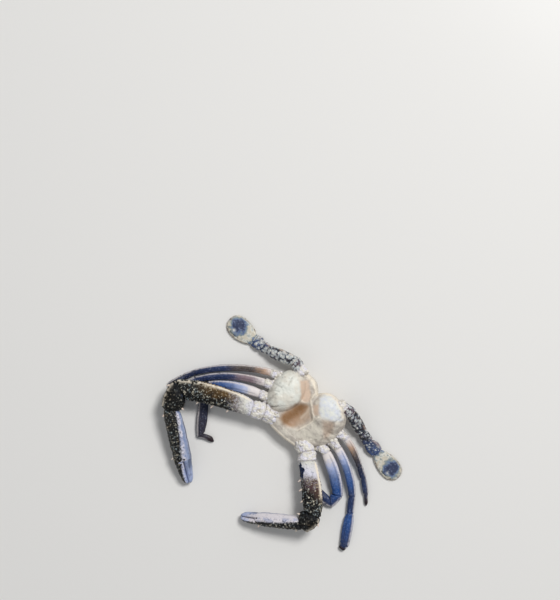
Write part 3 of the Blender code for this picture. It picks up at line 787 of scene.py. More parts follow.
def arm_finish(colours, name, stops, warm, share=0.9, netted=0.4):
    """Upper arm and wrist: colours along it under the grains, with a bright keel behind, partly a
    real pale ridge and partly painted highlight.
    """
    finish = Finish(colours, name, 0.0, 0.16)
    soft, net, fine = finish.noise(6.0), finish.noise(1.8), finish.noise(0.7)
    cell = finish.noise(2.3, 0.5) - 0.5
    mark = finish.mark
    along, ahead = mark("along"), mark("ahead")
    place = along + (soft - 0.5) * 0.22 + (net - 0.5) * 0.12 + ahead * 0.03
    shade = finish.ramp(place, stops)
    behind = (0.25 - ahead * 0.6 + (soft - 0.5) * 1.4).over(0.0, 0.8)
    warmth = behind * along.over(0.80, 0.5) * along.over(0.14, 0.34)
    front = (ahead + (net - 0.5) * 0.5).over(0.45, 0.95) * along.over(0.16, 0.32)
    dark = finish.lay(
        shade,
        (warmth * 0.85, warm),
        (net.over(0.50, 0.60) * warmth * 0.6, "black_green"),
        (front * 0.8, "black"),
    )
    pale_until, fade = stops[1][0], stops[2][0]
    root = (along + (net - 0.5) * 0.5).over(fade + 0.03, pale_until)
    lines = (cell * cell).over(0.0030, 0.0002)
    lines = lines * (along + (soft - 0.5) * 0.3).over(fade + 0.20, fade)
    blotch = finish.blend(fine.over(0.40, 0.60), "navy", "black_blue")
    base = finish.lay(
        grained_colour(finish, dark, warmth, share),
        (root, shade),
        (net.over(0.54, 0.66) * root * 0.35, "lilac_shade"),
        (lines * along.over(fade - 0.14, fade) * netted, "lilac_white"),
        # Keel behind: partly a real pale ridge, partly painted highlight
        (mark("ridge"), "rim"),
        ((mark("patch") + (net - 0.5) * 1.1).over(0.26, 0.56), blotch),
        (mark("seam") * 0.25, "black"),
    )
    return finish.done(base, 0.38 + 0.28 * fine, fine, 0.15, 0.5)


def hand_finish(colours, name, pale, bright):
    """Hand and fingers: smooth lilac on the face ahead, dark and grained behind. The face pales
    towards the grained side, partly its own pale and partly painted highlight, and painted shade
    darkens its front edge.
    """
    finish = Finish(colours, name, 0.12, 0.22)
    soft, net, fine = finish.noise(5.0, 4.0), finish.noise(1.7), finish.noise(0.7)
    mark = finish.mark
    dark = finish.blend(soft.over(0.42, 0.62), "black_blue", "black_green")
    smooth = mark("smooth") + (net - 0.5) * 0.5
    # Pale of the face towards the grained side: partly the hand's own pale, partly painted
    # highlight
    light = (smooth + (soft - 0.5) * 0.7).over(0.45 + pale * 1.9, 0.30 + pale * 1.2)
    # Painted shade: the face darkens towards its front edge, less so on the fingers
    shade = smooth.over(0.85 + pale, 1.35 + pale) * (0.85 - 0.6 * mark("tip"))
    lilac = finish.lay(
        "lilac",
        (light, bright),
        (shade, "lilac_shade"),
        (net.over(0.56, 0.70) * 0.40, "lilac_shade"),
        (soft.over(0.48, 0.60) * smooth.over(1.1, 0.5) * 0.5, "leg_grey"),
        (fine.over(0.58, 0.70) * 0.4, "lilac_white"),
        (mark("tip") * soft.over(0.36, 0.56) * 0.9, "leg_lilac"),
        (mark("tip") * net.over(0.56, 0.66) * 0.45, "leg_grey"),
        (mark("ridge"), bright),
    )
    speck = net.over(0.55, 0.63) * smooth.over(0.80, 0.20)
    base = finish.lay(
        grained_colour(finish, dark, soft.over(0.5, 0.75) * 0.6, 0.65),
        (smooth.over(0.02, 0.30), lilac),
        (speck * smooth.over(0.0, 0.2) * 0.85, "black_green"),
        (mark("patch"), "black"),
        (mark("seam") * 0.35, "black_blue"),
        (mark("cut") * 0.4, "marble_white"),
    )
    return finish.done(base, 0.30 + 0.25 * fine, fine, 0.1, 0.4)


def leg_finish(colours, name, stops):
    """Walking leg: colours along its reach, fine flecks, painted glints on the upper side, and a
    pale beaded line behind, partly a real pale rim and partly painted highlight.
    """
    finish = Finish(colours, name, 0.06, 0.22)
    soft, speck, fine = finish.noise(4.0), finish.noise(1.3, 2.0), finish.noise(0.6)
    mark = finish.mark
    reach = mark("reach") + (soft - 0.5) * 0.10 + (speck - 0.5) * 0.08
    up = mark("up")
    base = finish.lay(
        finish.ramp(reach, stops),
        (speck.over(0.50, 0.38) * reach.over(0.1, 0.4) * 0.35, "dusk"),
        (speck.over(0.56, 0.66) * 0.16, "leg_lilac"),
        # Painted glints: pale flecks on the upper side only
        (fine.over(0.60, 0.67) * up.over(-0.2, 0.4) * 0.25, "leg_pale"),
        (up.over(-0.1, -0.7) * 0.45, "lilac"),
        # Pale beaded line behind: partly the leg's own pale rim, partly painted highlight
        (mark("edge") * (1.0 - mark("reach") * 0.4) * speck.over(0.30, 0.46), "leg_pale"),
        (mark("groove") * 0.4, "dusk"),
        (mark("tip"), "horn"),
        (mark("seam") * 0.35, "dusk"),
        (mark("cut") * 0.9, "black"),
    )
    return finish.done(base, 0.28 + 0.25 * fine, speck * 0.5 + fine * 0.5, 0.2, 0.5)


def swimming_finish(colours, name, share):
    """Swimming leg: pale marbling on dark green and brown, then on blue near the paddle."""
    finish = Finish(colours, name, 0.25)
    soft, fine = finish.noise(4.0), finish.noise(0.7)
    mark = finish.mark
    reach = mark("reach")
    grey = (reach + (fine - 0.5) * 0.3).over(0.50, 0.70) * fine.over(0.4, 0.55)
    ground = finish.lay(
        "black_green",
        (soft.over(0.48, 0.60) * 0.6, "purple"),
        ((reach + (soft - 0.5) * 0.5).over(0.44, 0.56), "navy"),
        (grey * 0.5, "leg_grey"),
    )
    base = finish.lay(
        marbled_colour(finish, ground, share - reach * 0.30),
        (mark("grain") * fine.over(0.35, 0.5) * 0.35, "marble_white"),
        (fine.over(0.58, 0.70) * 0.45, "lilac_shade"),
        (mark("edge") * soft.over(0.4, 0.6) * 0.4, "pink"),
        (mark("groove") * 0.4, "black_blue"),
        (mark("seam") * 0.4, "black_blue"),
    )
    return finish.done(base, 0.32 + 0.25 * fine, fine, 0.12, 0.5)


def paddle_finish(colours):
    """Paddle: cream at the base, a large dark blue blotch with a grey green edge, cream rim, and
    painted shade along the edge ahead.
    """
    finish = Finish(colours, "paddle", 0.2)
    soft, net, fine = finish.noise(4.0, 4.0), finish.noise(1.8), finish.noise(0.7)
    mark = finish.mark
    cloud = mark("blotch") + (soft - 0.5) * 1.5 + (net - 0.5) * 0.6
    base = finish.lay(
        finish.blend(soft.over(0.42, 0.62), "paddle_cream", "marble_white"),
        (net.over(0.52, 0.66) * 0.35, "paddle_teal"),
        (fine.over(0.56, 0.70) * 0.22, "paddle_teal"),
        (cloud.over(0.10, 0.40) * 0.85, "paddle_teal"),
        (cloud.over(0.34, 0.62) * 0.75, "leg_grey"),
        (cloud.over(0.48, 0.80), "paddle_blue"),
        (cloud.over(0.4, 0.6) * net.over(0.55, 0.66) * 0.45, "lilac"),
        (mark("glint") * net.over(0.36, 0.5), "marble_white"),
        # Painted shade: dark green along the paddle's edge ahead
        (mark("shore") * net.over(0.36, 0.56) * 0.75, "black_green"),
        (mark("rim") * (0.1 + net.over(0.42, 0.62) * 0.6), "paddle_cream"),
        (mark("fray") * net.over(0.42, 0.56) * 0.9, "brown"),
        (mark("seam") * 0.4, "navy"),
    )
    return finish.done(base, 0.34 + 0.25 * fine, fine, 0.12, 0.5)


def plain_finish(colours, name, first, second, width, roughness):
    """Two tones in soft clouds, for small pieces and the floor."""
    finish = Finish(colours, name, 0.1)
    soft = finish.noise(width)
    tones = finish.blend(soft.over(0.35, 0.65), first, second)
    return finish.done(tones, roughness, soft, 0.05, 0.3)


# Thorax

# Patches seen from above, in millimetres: how soft the edge is, and the outline
PATCHES = {
    "right lobe": (1.5, [
        (-32.7, -13.6), (-35.2, -7.3), (-37.2, 1.7), (-35.0, 8.5), (-30.3, 13.9), (-21.8, 14.0),
        (-16.2, 10.7), (-11.7, 5.9), (-8.3, 0.2), (-10.8, -6.8), (-16.2, -12.1), (-23.6, -18.2),
    ]),
    "rear window": (1.3, [
        (-18.2, 12.8), (-13.0, 16.2), (-9.2, 13.2), (-4.6, 9.6), (-1.6, 5.5), (-3.2, 2.2),
        (-5.9, 1.0), (-8.4, 1.9), (-11.8, 6.5),
    ]),
    "main window": (2.4, [
        (-6.6, -0.9), (0.4, 2.4), (4.8, -0.8), (8.2, -5.0), (6.6, -12.0), (4.0, -16.7),
        (-1.4, -21.2), (-5.9, -22.0), (-10.2, -20.6), (-11.8, -16.6), (-9.9, -9.6), (-8.6, -5.4),
    ]),
    "left window": (1.4, [
        (2.1, 4.9), (4.7, 7.8), (7.6, 5.8), (10.0, 2.3), (8.2, -0.6), (5.2, 1.2),
    ]),
    "left facet": (1.7, [
        (2.6, 12.1), (4.0, 17.0), (8.0, 19.6), (14.5, 19.4), (22.5, 16.0), (27.5, 11.5),
        (25.0, 7.4), (16.6, 2.8), (11.7, 1.2), (6.9, 6.0),
    ]),
    "left tan": (2.6, [
        (15.6, 0.3), (21.6, 5.3), (25.0, 2.8), (27.6, -3.0), (27.4, -7.6), (24.8, -9.3),
        (19.6, -4.5),
    ]),
    "cream pan": (3.0, [
        (7.5, -12.9), (10.8, -4.3), (15.0, -1.8), (20.6, -7.0), (25.2, -13.0), (17.0, -20.5),
        (9.6, -20.7),
    ]),
}
# Ridges and rims: how wide, and the route
LINES = {
    "median ridge": (0.9, (
        (-2.6, 12.6), (-2.0, 6.2), (1.4, 3.2), (4.9, -0.4), (7.7, -1.9), (9.4, -4.4),
    )),
    "cross ridge": (0.8, ((10.8, -0.2), (10.1, -4.2), (8.6, -10.3), (7.0, -14.7), (5.6, -18.6))),
    "window ridge": (1.1, ((0.4, 2.6), (2.2, -3.0), (1.6, -9.0))),
    "rear rim": (1.3, ((-17.0, 19.0), (-8.8, 18.2), (-4.6, 15.0), (-1.2, 12.6))),
    "left rear rim": (1.1, ((2.4, 16.6), (7.9, 19.6), (14.1, 19.2), (20.4, 16.6), (26.0, 12.4))),
}
DARK_BAND = (4.4, ((-4.6, -1.6), (-4.4, -8.6), (-6.0, -15.6), (-7.6, -19.6)))
RIGHT_SUTURE = (0.4, ((-12.5, -8.6), (-17.5, -13.0), (-21.4, -16.9), (-24.9, -20.0)))
SIDE_PIT = (-31.0, -12.4)
LEG_ROOTS = ((29.0, -15.0), (32.0, -6.5), (33.0, 2.5), (25.0, 16.5))
FOLD_WIDTH = 0.8
BREAST_LINES = (-17.0, -8.5, 0.0, 9.0)
BREAST_GROOVE = 0.7
# Width, seed and height of each layer of lumps, and width, seeds and reach of the outlines' wander
THORAX_LUMPS = ((6.5, 3.1, 0.35), (2.2, 7.7, 0.2), (1.1, 2.2, 0.08))
WANDER = (2.8, (5.0, 8.0), 0.9)


def dome(x, y, middle, radii, power, flatness=1.0):
    reach = ((x - middle[0]) / radii[0]) ** 2 + ((y - middle[1]) / radii[1]) ** 2
    return np.maximum(0.0, 1.0 - reach**flatness) ** power


def thorax_top(x, y):
    shoulder = np.clip((np.abs(x) - SHOULDER_FROM) / (SHOULDER_TO - SHOULDER_FROM), 0.0, 1.0)
    ground = TROUGH_HEIGHT + (SHOULDER_HEIGHT - TROUGH_HEIGHT) * shoulder
    slopes = ((LOBE_STEEPNESS, LOBE_FLATNESS),) * 2 + ((FRONT_LOBE_SLOPE,),)
    rises = [
        (top - ground) * dome(x, y, middle, radii, *slope)
        for (middle, radii, top), slope in zip(LOBES, slopes)
    ]
    softest = np.logaddexp.reduce([rise * LOBE_MELT for rise in rises]) - math.log(len(rises))
    return ground + softest / LOBE_MELT - PIT_DEPTH * dome(x, y, PIT_MIDDLE, PIT_RADII, PIT_SLOPE)


def breast_plate(x, y):
    """Grooves under the body: one down the middle and four across each half."""
    side = smoothstep(3.5, 7.0, np.abs(x))
    lines = [bell(y, line - 0.12 * np.abs(x), BREAST_GROOVE) * side for line in BREAST_LINES]
    return np.maximum.reduce([*lines, bell(x, 0.0, BREAST_GROOVE) * smoothstep(-16.0, -12.0, y)])


def side_folds(x, y):
    """Creases from each side's lobe to the roots of its legs."""
    folds = []
    for root_x, root_y in LEG_ROOTS:
        for sign, (lobe_x, lobe_y) in ((-1.0, LOBES[0][0]), (1.0, LOBES[2][0])):
            tip = (sign * root_x, root_y - 4.5)
            start = (lobe_x + (tip[0] - lobe_x) * 0.35, lobe_y + (tip[1] - lobe_y) * 0.35)
            folds.append(stroke(x, y, FOLD_WIDTH, (start, tip)))
    return np.maximum.reduce(folds)


def thorax_form(polar, azimuth):
    """Press the sphere into the outline: upper half to lobes, lower half to the breast plate."""
    out = (np.minimum(polar, 1.0 - polar) * 2.0) ** THORAX_SPREAD
    table = np.linspace(-90.0, 90.0, 361)
    radii = np.array([smooth_between(THORAX_OUTLINE, value) for value in table])
    radius = np.interp(np.degrees(np.arcsin(np.sin(azimuth))), table, radii) * out
    x = THORAX_MIDDLE[0] + np.cos(azimuth) * radius
    y = THORAX_MIDDLE[1] + np.sin(azimuth) * radius
    fullness = np.maximum(1.0 - out**WALL_FULLNESS, 0.0) ** (1.0 / WALL_ROUNDNESS)
    upper = (polar <= 0.5).astype(float)

    flat = np.stack((x, y, np.zeros_like(x)), axis=1)
    width, seeds, reach = WANDER
    wx, wy = (value + clouds(flat, width, seed) * reach for value, seed in zip((x, y), seeds))
    white, rear, main, left, facet, left_tan, cream = (
        inside(wx, wy, *patch) for patch in PATCHES.values()
    )
    median, cross, window, rear_rim, left_rim = (stroke(x, y, *line) for line in LINES.values())
    ridge = np.maximum(median, 0.8 * cross)
    fold = 0.5 * window
    rims = np.maximum(rear_rim, left_rim)
    sutures = stroke(wx, wy, *RIGHT_SUTURE) * (0.15 + 0.85 * smoothstep(-15.5, -19.5, x))
    side_pit = np.exp(-(((x - SIDE_PIT[0]) ** 2 + (y - SIDE_PIT[1]) ** 2) / 0.8))
    folds = side_folds(wx, wy)
    lip = smoothstep(0.90, 0.97, out) * smoothstep(-14.0, -24.0, y) * (np.abs(x) < 15.0)
    windows = np.maximum.reduce((rear, main, left))
    # Painted light: the right lobe is laid near white out to its foot, so that its shaded walls
    # look lit
    painted_wall_light = 0.7 * smoothstep(0.05, 0.45, dome(x, y, *LOBES[0][:2], 1.0)) * (1.0 - windows)
    lobe = np.maximum(*[dome(x, y, middle, radii, 0.5) for middle, radii, _ in LOBES[:2]])

    rough = lumps(flat, *THORAX_LUMPS)
    flank_lumps = 1.0 + 1.3 * smoothstep(0.6, 0.9, out) * (y > -24.0)
    top = thorax_top(x, y)
    top = top + rough * flank_lumps * (1.0 - 0.65 * windows) * (1.0 - 0.5 * facet)
    top += ridge * 0.8 + fold * 0.5 + rims * 0.5 - windows * 0.6 * (1.0 - lobe)
    top -= sutures * 0.9 + side_pit * 1.2 + folds * 0.7 + left_tan * 0.35
    z_upper = RIM_HEIGHT + (top - RIM_HEIGHT) * fullness + lip * 0.9
    grooves = breast_plate(x, y) * smoothstep(0.98, 0.9, out)
    z_lower = RIM_HEIGHT * (1.0 - fullness) + grooves * 0.8 + np.abs(rough) * 0.25

    specks = smoothstep(0.15, 0.55, clouds(flat, 1.5, 9.0)) * (np.abs(x) > 12.0)
    soiled = smoothstep(0.62, 0.90, out) * specks
    seams = sutures * 0.75 + side_pit * 0.7 + folds * 0.2 + soiled * 0.3
    tan = np.maximum(main * (1.0 - 0.40 * smoothstep(-1.0, 5.0, x)), left_tan * 0.45)
    bright = np.maximum(np.maximum(rims, lip), np.maximum(ridge, fold) * 0.75)
    return np.stack((x, y, np.where(upper > 0, z_upper, np.maximum(z_lower, 0.0))), axis=1), {
        "white": np.maximum(white, painted_wall_light) * upper,
        "facet": facet * upper,
        "tan": tan * upper,
        "brown": 0.85 * main * stroke(wx, wy, *DARK_BAND) * upper,
        "pink": np.maximum(rear, left) * (1.0 - main) * upper,
        "cream": cream * upper,
        "rim": np.clip(bright, 0, 1) * upper,
        "seam": np.where(upper > 0, np.clip(seams, 0, 1), grooves * 0.6),
    }


# Limbs


def skin_form(tube, limb_name, cap, shape, skin=None, ease=None):
    """The form of one length: shape gives its relief and adds to its marks."""
    skin = skin or tube.skin

    def form(polar, azimuth):
        along, shrink = capped(polar, cap)
        if ease:
            along = ease(along)
        marks = limb_marks(tube, along, azimuth, shrink, limb_name)
        relief = shape(along, azimuth, skin(along, azimuth, shrink), marks)
        return skin(along, azimuth, shrink, relief), marks

    return form


def root_form(tube, draw, limb_name, dark=0.0, slim=0.0):
    """Coxa and ischium: lumpy and covered in low granules, with brown in the low places of the
    lumps.
    """
    seed = draw.uniform(*SEED_RANGE)
    tries = int(tube.long * sum(tube.length.full) * GRANULE_TRIES)
    seeds = scatter(draw, tries, GRANULE_SPACING, lambda *place: GRANULE_CHANCE, tube.skin)
    radii = [draw.uniform(*GRANULE_RADII) for _ in seeds]
    rises = [radius * GRANULE_RISE for radius in radii]
    granules = Grains(seeds, radii, rises, [1.0] * len(radii))

    def shape(along, azimuth, plain, marks):
        rough = lumps(plain, (4.2, seed, 0.45), (2.0, seed + 9.0, 0.22))
        push, top = add_pimples(plain, granules)
        waist = 0.55 * (1.0 - swell(along))
        marks["grain"] = np.maximum(smoothstep(0.10, 0.45, rough), top * 0.7)
        # Brown in the low places of the lumps
        marks["stain"] = smoothstep(0.10, -0.45, rough + top * 0.5)
        ragged = along + clouds(plain, 3.0, seed + 4.0) * 0.25
        marks["patch"] = dark * smoothstep(0.30, 0.50, ragged)
        return rough + push + waist + rounded_edges(along, tube.long, 1.0, 0.3) - slim - 0.15

    return skin_form(tube, limb_name, CAPS["root"], shape)


def knob_form(place, size, draw):
    """A small rounded lump of the joints at the body."""
    seed = draw.uniform(*SEED_RANGE)
    stretch = np.array([size * draw.uniform(*KNOB_STRETCH) for _ in range(3)])

    def form(polar, azimuth):
        ring = np.sin(polar * math.pi)
        ball = np.stack(
            (np.cos(azimuth) * ring, np.sin(azimuth) * ring, np.cos(polar * math.pi)), axis=1
        )
        bumps = clouds(ball * size + place, 2.0, seed)
        points = place + ball * stretch * (1.0 + KNOB_BUMPS * bumps)[:, None]
        points[:, 2] = np.maximum(points[:, 2], LOWEST_KNOB)
        zero = np.zeros(len(points))
        # Paler on the high bumps, brown in the low ones
        marks = {"grain": smoothstep(0.2, 0.7, bumps), "stain": smoothstep(0.0, -0.6, bumps)}
        return points, {**marks, "patch": zero, "seam": zero}

    return form


# How far round from ahead the smooth face reaches, in radians, along each hand and fixed finger
SMOOTH_PLACES = (0.0, 0.06, 0.35, 0.66, 0.76, 1.0)
SMOOTH_EDGES = {
    "claw_right": (1.10, 1.28, 1.48, 1.75, 2.10, 2.35),
    "claw_left": (1.35, 1.55, 1.80, 1.98, 2.30, 2.55),
}
SMOOTH_SOFTNESS = 0.9
FINGER_STARTS_AT = 0.76
# Keels, grooves and edges: place round the length, in radians or degrees, and width
ARM_KEEL = (math.radians(148), 0.20)
HAND_KEELS = (28, 60, 92)
HAND_KEEL_WIDTH = 0.06
# Holes at the hinge of the hand: place past it and ahead, each with its width
HINGE_PITS = (((-0.6, 0.9), (0.15, 0.14)), ((-0.2, 0.8), (-0.42, 0.11)))
FINGER_GROOVE = (1.3, 0.16)
LEG_GROOVES = {"propodus": (1.05, 2.05), "dactyl": (1.05, 2.05)}
ONE_GROOVE = (1.2,)
# Pale line behind the walking legs, partly painted highlight: place round and width
LEG_EDGE = (2.52, 0.30)


def hand_smooth(limb_name, along, turn):
    """How far a point is on the smooth face of a hand, which widens towards the fingers."""
    return (np.interp(along, SMOOTH_PLACES, SMOOTH_EDGES[limb_name]) - turn) / SMOOTH_SOFTNESS


def seed_grains(tube, draw, limb_name, sizes, skin, hand):
    """Fine grains, scattered pale ones, and a row of larger ones along the edge behind."""
    sign = ahead_sign(limb_name)

    def allowed(smooth_until, under, few, many):
        """The chance of a grain: none on the smooth face, few underneath."""

        def chance(along, azimuth):
            turn = math.acos(max(-1.0, min(1.0, math.cos(azimuth) * sign)))
            if hand and hand_smooth(limb_name, along, turn) > smooth_until:
                return 0.0
            return few if math.sin(azimuth) < under else many

        return chance

    area = tube.long * (tube.length.full[0] + tube.length.full[1]) * (1.5 if hand else 1.0)
    fine, pale = (
        scatter(draw, int(area * tries), spacing, chance, skin) for tries, spacing, chance in (
            (sizes.fine_tries, sizes.fine_spacing, allowed(0.1, -0.8, 0.25, 1.0)),
            (sizes.pale_tries, sizes.pale_spacing, allowed(0.25, -0.6, 0.2, 0.8)),
        )
    )
    radii = [draw.uniform(*PALE_RADII) for _ in pale]
    rises = [radius * draw.uniform(*PALE_RISES) for radius in radii]
    shades = [draw.uniform(*PALE_SHADES) for _ in pale]
    for degrees, step, size, row_shades in EDGE_ROWS:
        azimuth = math.radians(degrees if sign > 0 else 180 - degrees)
        count = int(tube.long / step)
        for number in range(count):
            middle = number + 0.5 + draw.uniform(-ROW_STRAY_ALONG, ROW_STRAY_ALONG)
            along = ROW_START + ROW_SPAN * middle / count
            turn = azimuth + draw.uniform(-ROW_STRAY, ROW_STRAY)
            pale = np.vstack((pale, skin(np.array([along]), np.array([turn]))))
            radii.append(size * draw.uniform(*ROW_RADII))
            rises.append(radii[-1] * ROW_RISE)
            shades.append(draw.uniform(*row_shades))
    fine_radii = [draw.uniform(*FINE_RADII) for _ in fine]
    fine_shades = [draw.uniform(*FINE_SHADES) for _ in fine]
    fine_rises = [radius * FINE_RISE for radius in fine_radii]
    return Grains(fine, fine_radii, fine_rises, fine_shades), Grains(pale, radii, rises, shades)


def grain_relief(plain, grains, cover, marks):
    """Push out the fine and the pale grains, and mark how near their tops are."""
    (fine_push, fine_top), (pale_push, pale_top) = (add_pimples(plain, kind) for kind in grains)
    marks.update(pimple=fine_top * cover, grain=pale_top * cover)
    return np.maximum(fine_push, pale_push) * cover


def arm_form(tube, draw, limb_name, sizes):
    """Upper arm and wrist of a claw: grained all round, with one pale keel along the back, partly
    a real pale ridge and partly painted highlight.
    """
    grains = seed_grains(tube, draw, limb_name, sizes, tube.skin, False)
    seed = draw.uniform(*SEED_RANGE)
    merus = tube.length.name == "merus"

    def shape(along, azimuth, plain, marks):
        keel = bell(marks["turn"], *ARM_KEEL) * (marks["up"] > 0.0)
        keel *= (1.0 if merus else 0.7) * smoothstep(0.0, 0.08, along)
        cover = (1.0 - marks["seam"]) * (1.0 - keel * smoothstep(0.7, 0.4, along))
        relief = grain_relief(plain, grains, cover, marks) + keel * 0.4
        relief += clouds(plain, 5.0, seed) * 0.3 + rounded_edges(along, tube.long, 1.2, 0.4)
        relief += flare(along, tube.long, 0.3, 1.6, 0.9)
        broken = smoothstep(-0.5, 0.1, clouds(plain, 1.8, 4.0))
        solid = smoothstep(0.62, 0.40, along) * merus
        # The keel's pale: partly a real pale ridge, partly painted highlight
        marks["ridge"] = keel * (solid + broken * 0.8).clip(0, 1)
        marks["patch"] = np.zeros_like(along)
        if limb_name == "claw_left" and merus:
            spot = np.exp(-(((along - 0.21) / 0.15) ** 2) - ((marks["ahead"] - 1.0) / 0.62) ** 2)
            marks["patch"] = smoothstep(0.25, 0.75, spot + clouds(plain, 2.6, 1.0) * 0.3)
            marks["ridge"] = np.minimum(keel * 1.4, 1.0) * smoothstep(0.75, 0.5, along)
        return relief

    return skin_form(tube, limb_name, CAPS["arm"], shape)


def hand_form(tube, finger, draw, limb_name, sizes):
    """Hand with its fixed finger: one skin that narrows to the half behind past the hinge."""
    shift = -ahead_sign(limb_name) * FINGER_SHIFT
    share = 0.5 - FINGER_GAP / finger.length.full[0]
    long = tube.long + finger.long
    hinge = tube.long / long
    seed = draw.uniform(*SEED_RANGE)

    def skin(along, azimuth, shrink=1.0, relief=0.0):
        on_palm = np.clip(along / hinge, 0.0, 1.0)
        on_finger = np.clip((along - hinge) / (1.0 - hinge), 0.0, 1.0)
        past = smoothstep(0.0, 0.9, on_finger * finger.long)
        part = 1.0 + (share - 1.0) * past
        halved = finger.skin(on_finger, azimuth, shrink, relief, shift * past, part)
        whole = tube.skin(on_palm, azimuth, shrink, relief)
        return np.where((along <= hinge)[:, None], whole, halved)

    grains = seed_grains(tube, draw, limb_name, sizes, skin, True)

    def shape(along, azimuth, plain, marks):
        ahead, up = marks["ahead"], marks["up"] > 0.0
        rows = [bell(marks["turn"], math.radians(row), HAND_KEEL_WIDTH) for row in HAND_KEELS]
        keels = np.maximum.reduce(rows)
        keels *= up * smoothstep(0.03, 0.12, along) * smoothstep(1.0, 0.9, along)
        on_finger = smoothstep(hinge + 0.01, hinge + 0.04, along)
        relief = grain_relief(plain, grains, 1.0 - marks["seam"], marks) + keels * 0.28
        relief += clouds(plain, 4.0, seed) * 0.25 + rounded_edges(along, long, 3.0, 1.3)
        relief *= 1.0 - on_finger * smoothstep(0.5, 0.9, ahead)
        away = (along - hinge) * long
        pits = np.maximum(*[
            np.exp(-(((away - past) / long_way) ** 2 + ((ahead - place) / wide) ** 2))
            for (past, long_way), (place, wide) in HINGE_PITS
        ]) * up
        halved = np.clip(ahead * (1.0 - 0.5 * on_finger) - 0.5 * on_finger, -1, 1)
        marks["smooth"] = hand_smooth(limb_name, along, np.arccos(halved))
        marks["ridge"] = keels * 0.4
        marks["patch"] = smoothstep(0.3, 0.75, pits)
        marks["tip"] = smoothstep(hinge, 0.95, along)
        return relief - pits * 0.9

    return skin_form(tube, limb_name, CAPS["hand"], shape, skin)


def finger_form(tube, draw, limb_name):
    """Movable finger: the half ahead of the claw's width, with a groove along it."""
    shift = ahead_sign(limb_name) * FINGER_SHIFT
    share = 0.5 - FINGER_GAP / tube.length.full[0]
    seed = draw.uniform(*SEED_RANGE)

    def skin(along, azimuth, shrink, relief=0.0):
        return tube.skin(along, azimuth, shrink, relief, shift, share)

    def shape(along, azimuth, plain, marks):
        groove = bell(marks["turn"], *FINGER_GROOVE) * (marks["up"] > 0.0)
        relief = clouds(plain, 3.0, seed) * 0.2 - groove * 0.35
        relief += rounded_edges(np.maximum(along, 0.5), tube.long, 3.0, 1.3)
        relief += rounded_edges(np.minimum(along, 0.5), tube.long, 0.6, 0.15)
        whole_turn = np.arccos(0.5 + 0.5 * np.clip(marks["ahead"], -1.0, 1.0))
        on_hand = FINGER_STARTS_AT + (1.0 - FINGER_STARTS_AT) * along
        marks["smooth"] = hand_smooth(limb_name, on_hand, whole_turn)
        marks["tip"] = smoothstep(0.0, 0.8, along)
        marks["patch"] = groove * 0.2 + smoothstep(-0.90, -0.99, marks["ahead"]) * 0.4
        zero = np.zeros_like(along)
        marks.update(pimple=zero, grain=zero, ridge=zero, seam=marks["seam"] * (along > 0.5))
        return relief * smoothstep(-0.95, -0.6, marks["ahead"])

    return skin_form(tube, limb_name, CAPS["leg"], shape, skin)


def leg_form(tube, draw, limb_name, trimmed, mottled=False):
    """Length of a walking or swimming leg: grooves along it, a pale edge behind, a far collar."""
    seed = draw.uniform(*SEED_RANGE)
    part = tube.length.name
    width, height = (2.2, 0.35) if mottled else (3.5, 0.14)

    def shape(along, azimuth, plain, marks):
        grooves = [bell(azimuth, turn, 0.15) for turn in LEG_GROOVES.get(part, ONE_GROOVE)]
        groove = np.maximum.reduce(grooves)
        groove *= smoothstep(0.02, 0.15, along) * smoothstep(0.98, 0.85, along)
        rough = clouds(plain, width, seed)
        relief = -groove * 0.28 + rough * height
        relief += clouds(plain, 0.9, seed + 3.0) * 0.07
        if part != "dactyl":
            relief += rounded_edges(along, tube.long, 1.0, 0.45)
            relief += flare(along, tube.long, 0.3, 1.2, 0.7)
        marks["groove"] = groove
        marks["grain"] = smoothstep(0.35, 0.65, rough)
        # Pale line behind: partly the leg's own rim, partly painted highlight on the walking legs
        marks["edge"] = bell(marks["turn"], *LEG_EDGE) * smoothstep(-0.2, 0.3, marks["up"])
        marks["tip"] = smoothstep(0.15, 0.7, along) * (part == "dactyl")
        marks["cut"] *= trimmed
        return relief

    return skin_form(tube, limb_name, CAPS.get(part, CAPS["leg"]), shape)


def paddle_form(tube, draw, limb_name):
    """Thin oval blade with a low middle rib, fine veins and a frayed rim."""
    seed = draw.uniform(*SEED_RANGE)

    def shape(along, azimuth, plain, marks):
        across = marks["ahead"]
        rib = bell(across, 0.0, 0.12) * smoothstep(0.95, 0.5, along)
        veins = np.maximum(0.0, np.cos((np.abs(across) * 5.0 + along * 7.0) * 3.0)) ** 4
        edge = smoothstep(0.84, 0.95, np.abs(across))
        tip = smoothstep(0.90, 0.99, along)
        relief = rib * 0.22 + veins * 0.07 * (1.0 - edge) + clouds(plain, 2.6, seed) * 0.12
        relief += edge * lumps(plain, (3.4, seed + 5.0, 0.6), (1.3, seed + 6.0, 0.2))
        away = ((along - 0.64) / 0.27) ** 2 + ((across + 0.12) / 0.92) ** 2
        marks["blotch"] = np.exp(-(away**1.2)) + 0.35 * bell(along, 0.0, 0.08)
        marks["glint"] = np.exp(-((along - 0.68) / 0.05) ** 2 - ((across - 0.45) / 0.14) ** 2)
        marks["rim"] = np.maximum(edge, tip) * smoothstep(0.1, 0.3, along)
        marks["fray"] = tip * smoothstep(0.5, -0.3, across)
        # Painted shade along the paddle's edge ahead
        marks["shore"] = bell(across, 0.82, 0.10) * smoothstep(0.25, 0.45, along)
        return relief

    def ease(along):
        return np.sin(along * math.pi / 2)

    return skin_form(tube, limb_name, CAPS["paddle"], shape, ease=ease)


